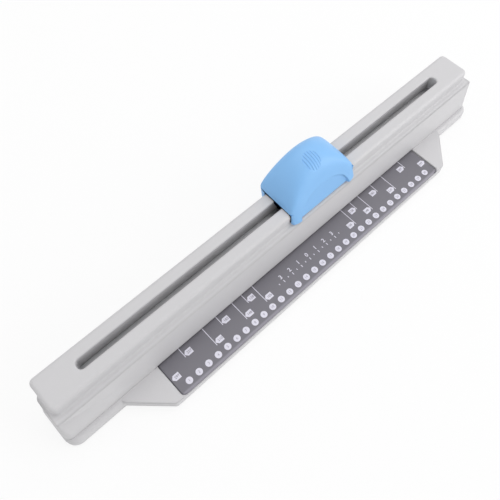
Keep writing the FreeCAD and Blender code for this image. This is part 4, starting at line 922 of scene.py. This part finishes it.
class PUNCH_OT_stage(bpy.types.Operator):
    """Sets up the floor, the lamps, the sky and the camera"""
    bl_idname = "punch.stage"
    bl_label = "Stage"
    FLOOR_HALF = 6.0
    FLOOR_DROP = 0.02 * MM
    FLOOR_WHITE = 0.84
    CAMERA_PLACE = (-0.18259, -0.13172, 0.42000)
    SENSOR = 36.0

    def execute(self, context):
        stage = context.scene.punch_stage
        self.floor()
        self.sky(context.scene, stage.sky)
        self.lamp("key_lamp", stage.key, 1.6, (0.5, 0.25, 1.5), (0.0, 0.0, 0.0))
        self.lamp("fill_lamp", stage.fill, 1.4, (1.25, -1.35, 0.8), (0.0, 0.0, 0.03))
        self.lamp("side_lamp", stage.side, 1.0, (-0.9, 0.7, 0.9), (0.0, 0.0, 0.03))
        self.camera(context.scene, stage.focal)
        context.scene.view_settings.view_transform = "Standard"
        return {"FINISHED"}

    def floor(self):
        half, low = self.FLOOR_HALF, -self.FLOOR_DROP
        corners = [(-half, -half, low), (half, -half, low), (half, half, low), (-half, half, low)]
        mesh = bpy.data.meshes.new("floor")
        mesh.from_pydata(corners, [], [(0, 1, 2, 3)])
        finish = Finish("pale_floor")
        finish.set(Base_Color=(0.95, 0.95, 0.95), Roughness=0.7)
        glow = finish.node("ShaderNodeEmission", {}, {"Color": (1.0, 1.0, 1.0), "Strength": 1.0})
        seen = self.seen(finish)
        mixed = finish.node("ShaderNodeMixShader", {}, {
            0: seen * self.FLOOR_WHITE, 1: Signal(finish, finish.shader.outputs[0]), 2: glow})
        finish.feed(finish.tree.nodes["Material Output"].inputs["Surface"], mixed)
        mesh.materials.append(finish.material)
        item = bpy.data.objects.new("floor", mesh)
        bpy.context.scene.collection.objects.link(item)

    def seen(self, finish):
        """1 for the camera's view and for what shows in metal and glass."""
        rays = [finish.node("ShaderNodeLightPath", {}, {}, "Is %s Ray" % kind)
                for kind in ("Camera", "Glossy", "Transmission")]
        first = rays[0].maths("MAXIMUM", rays[0], rays[1])
        return first.maths("MAXIMUM", first, rays[2])

    def sky(self, scene, strength):
        """Even light of the given strength, white in the camera's view, in metal and in glass."""
        world = bpy.data.worlds.new("soft_sky")
        world.use_nodes = True
        tree = world.node_tree
        back = tree.nodes["Background"]
        back.inputs["Color"].default_value = (1.0, 1.0, 1.0, 1.0)
        rays = tree.nodes.new("ShaderNodeLightPath")
        either = [tree.nodes.new("ShaderNodeMath") for _ in range(2)]
        for item in either:
            item.operation = "MAXIMUM"
        pick = tree.nodes.new("ShaderNodeMix")
        pick.inputs[2].default_value = strength
        pick.inputs[3].default_value = 1.0
        tree.links.new(rays.outputs["Is Camera Ray"], either[0].inputs[0])
        tree.links.new(rays.outputs["Is Glossy Ray"], either[0].inputs[1])
        tree.links.new(either[0].outputs[0], either[1].inputs[0])
        tree.links.new(rays.outputs["Is Transmission Ray"], either[1].inputs[1])
        tree.links.new(either[1].outputs[0], pick.inputs[0])
        tree.links.new(pick.outputs[0], back.inputs["Strength"])
        scene.world = world

    def lamp(self, name, power, size, place, target):
        light = bpy.data.lights.new(name, "AREA")
        light.energy = power
        light.size = size
        item = bpy.data.objects.new(name, light)
        item.location = place
        item.rotation_euler = (Vector(target) - Vector(place)).to_track_quat("-Z", "Y").to_euler()
        bpy.context.scene.collection.objects.link(item)

    def camera(self, scene, focal):
        data = bpy.data.cameras.new("view")
        data.lens = focal
        data.sensor_width = self.SENSOR
        data.clip_start = 0.01
        item = bpy.data.objects.new("view", data)
        right = Vector((0.72971, -0.68345, 0.02049))
        down = Vector((-0.60026, -0.65465, -0.45948))
        ahead = Vector((0.32744, 0.32299, -0.88795))
        turn = Matrix((right, -down, -ahead)).transposed().to_4x4()
        item.matrix_world = Matrix.Translation(self.CAMERA_PLACE) @ turn
        bpy.context.scene.collection.objects.link(item)
        scene.camera = item


class PUNCH_PT_panel(bpy.types.Panel):
    """Lists the punch's pieces, sizes and colours"""
    bl_idname = "PUNCH_PT_panel"
    bl_label = "Punch"
    bl_space_type = "VIEW_3D"
    bl_region_type = "UI"
    bl_category = "Punch"

    def draw(self, context):
        for setting, _ in GROUPS:
            group = getattr(context.scene, setting)
            box = self.layout.box()
            for name in group.bl_rna.properties.keys():
                if name not in ("rna_type", "name"):
                    box.prop(group, name)
        for operator in OPERATORS:
            self.layout.operator(operator.bl_idname)


OPERATORS = (PUNCH_OT_mouldings, PUNCH_OT_housing, PUNCH_OT_slider, PUNCH_OT_metalwork,
             PUNCH_OT_springs, PUNCH_OT_guide_print, PUNCH_OT_stage)
GROUPS = (("punch_print", PunchPrint), ("punch_slider", PunchSlider), ("punch_housing", PunchHousing),
          ("punch_springs", PunchSprings), ("punch_colours", PunchColours), ("punch_stage", PunchStage))


def register():
    for _, group in GROUPS:
        bpy.utils.register_class(group)
    for name, group in GROUPS:
        setattr(bpy.types.Scene, name, PointerProperty(type=group))
    for item in OPERATORS + (PUNCH_PT_panel,):
        bpy.utils.register_class(item)


def unregister():
    for item in reversed(OPERATORS + (PUNCH_PT_panel,)):
        bpy.utils.unregister_class(item)
    for name, group in GROUPS:
        delattr(bpy.types.Scene, name)
        bpy.utils.unregister_class(group)


def main():
    register()
    for operator in OPERATORS:
        group, name = operator.bl_idname.split(".")
        getattr(getattr(bpy.ops, group), name)()


if __name__ == "__main__":
    main()
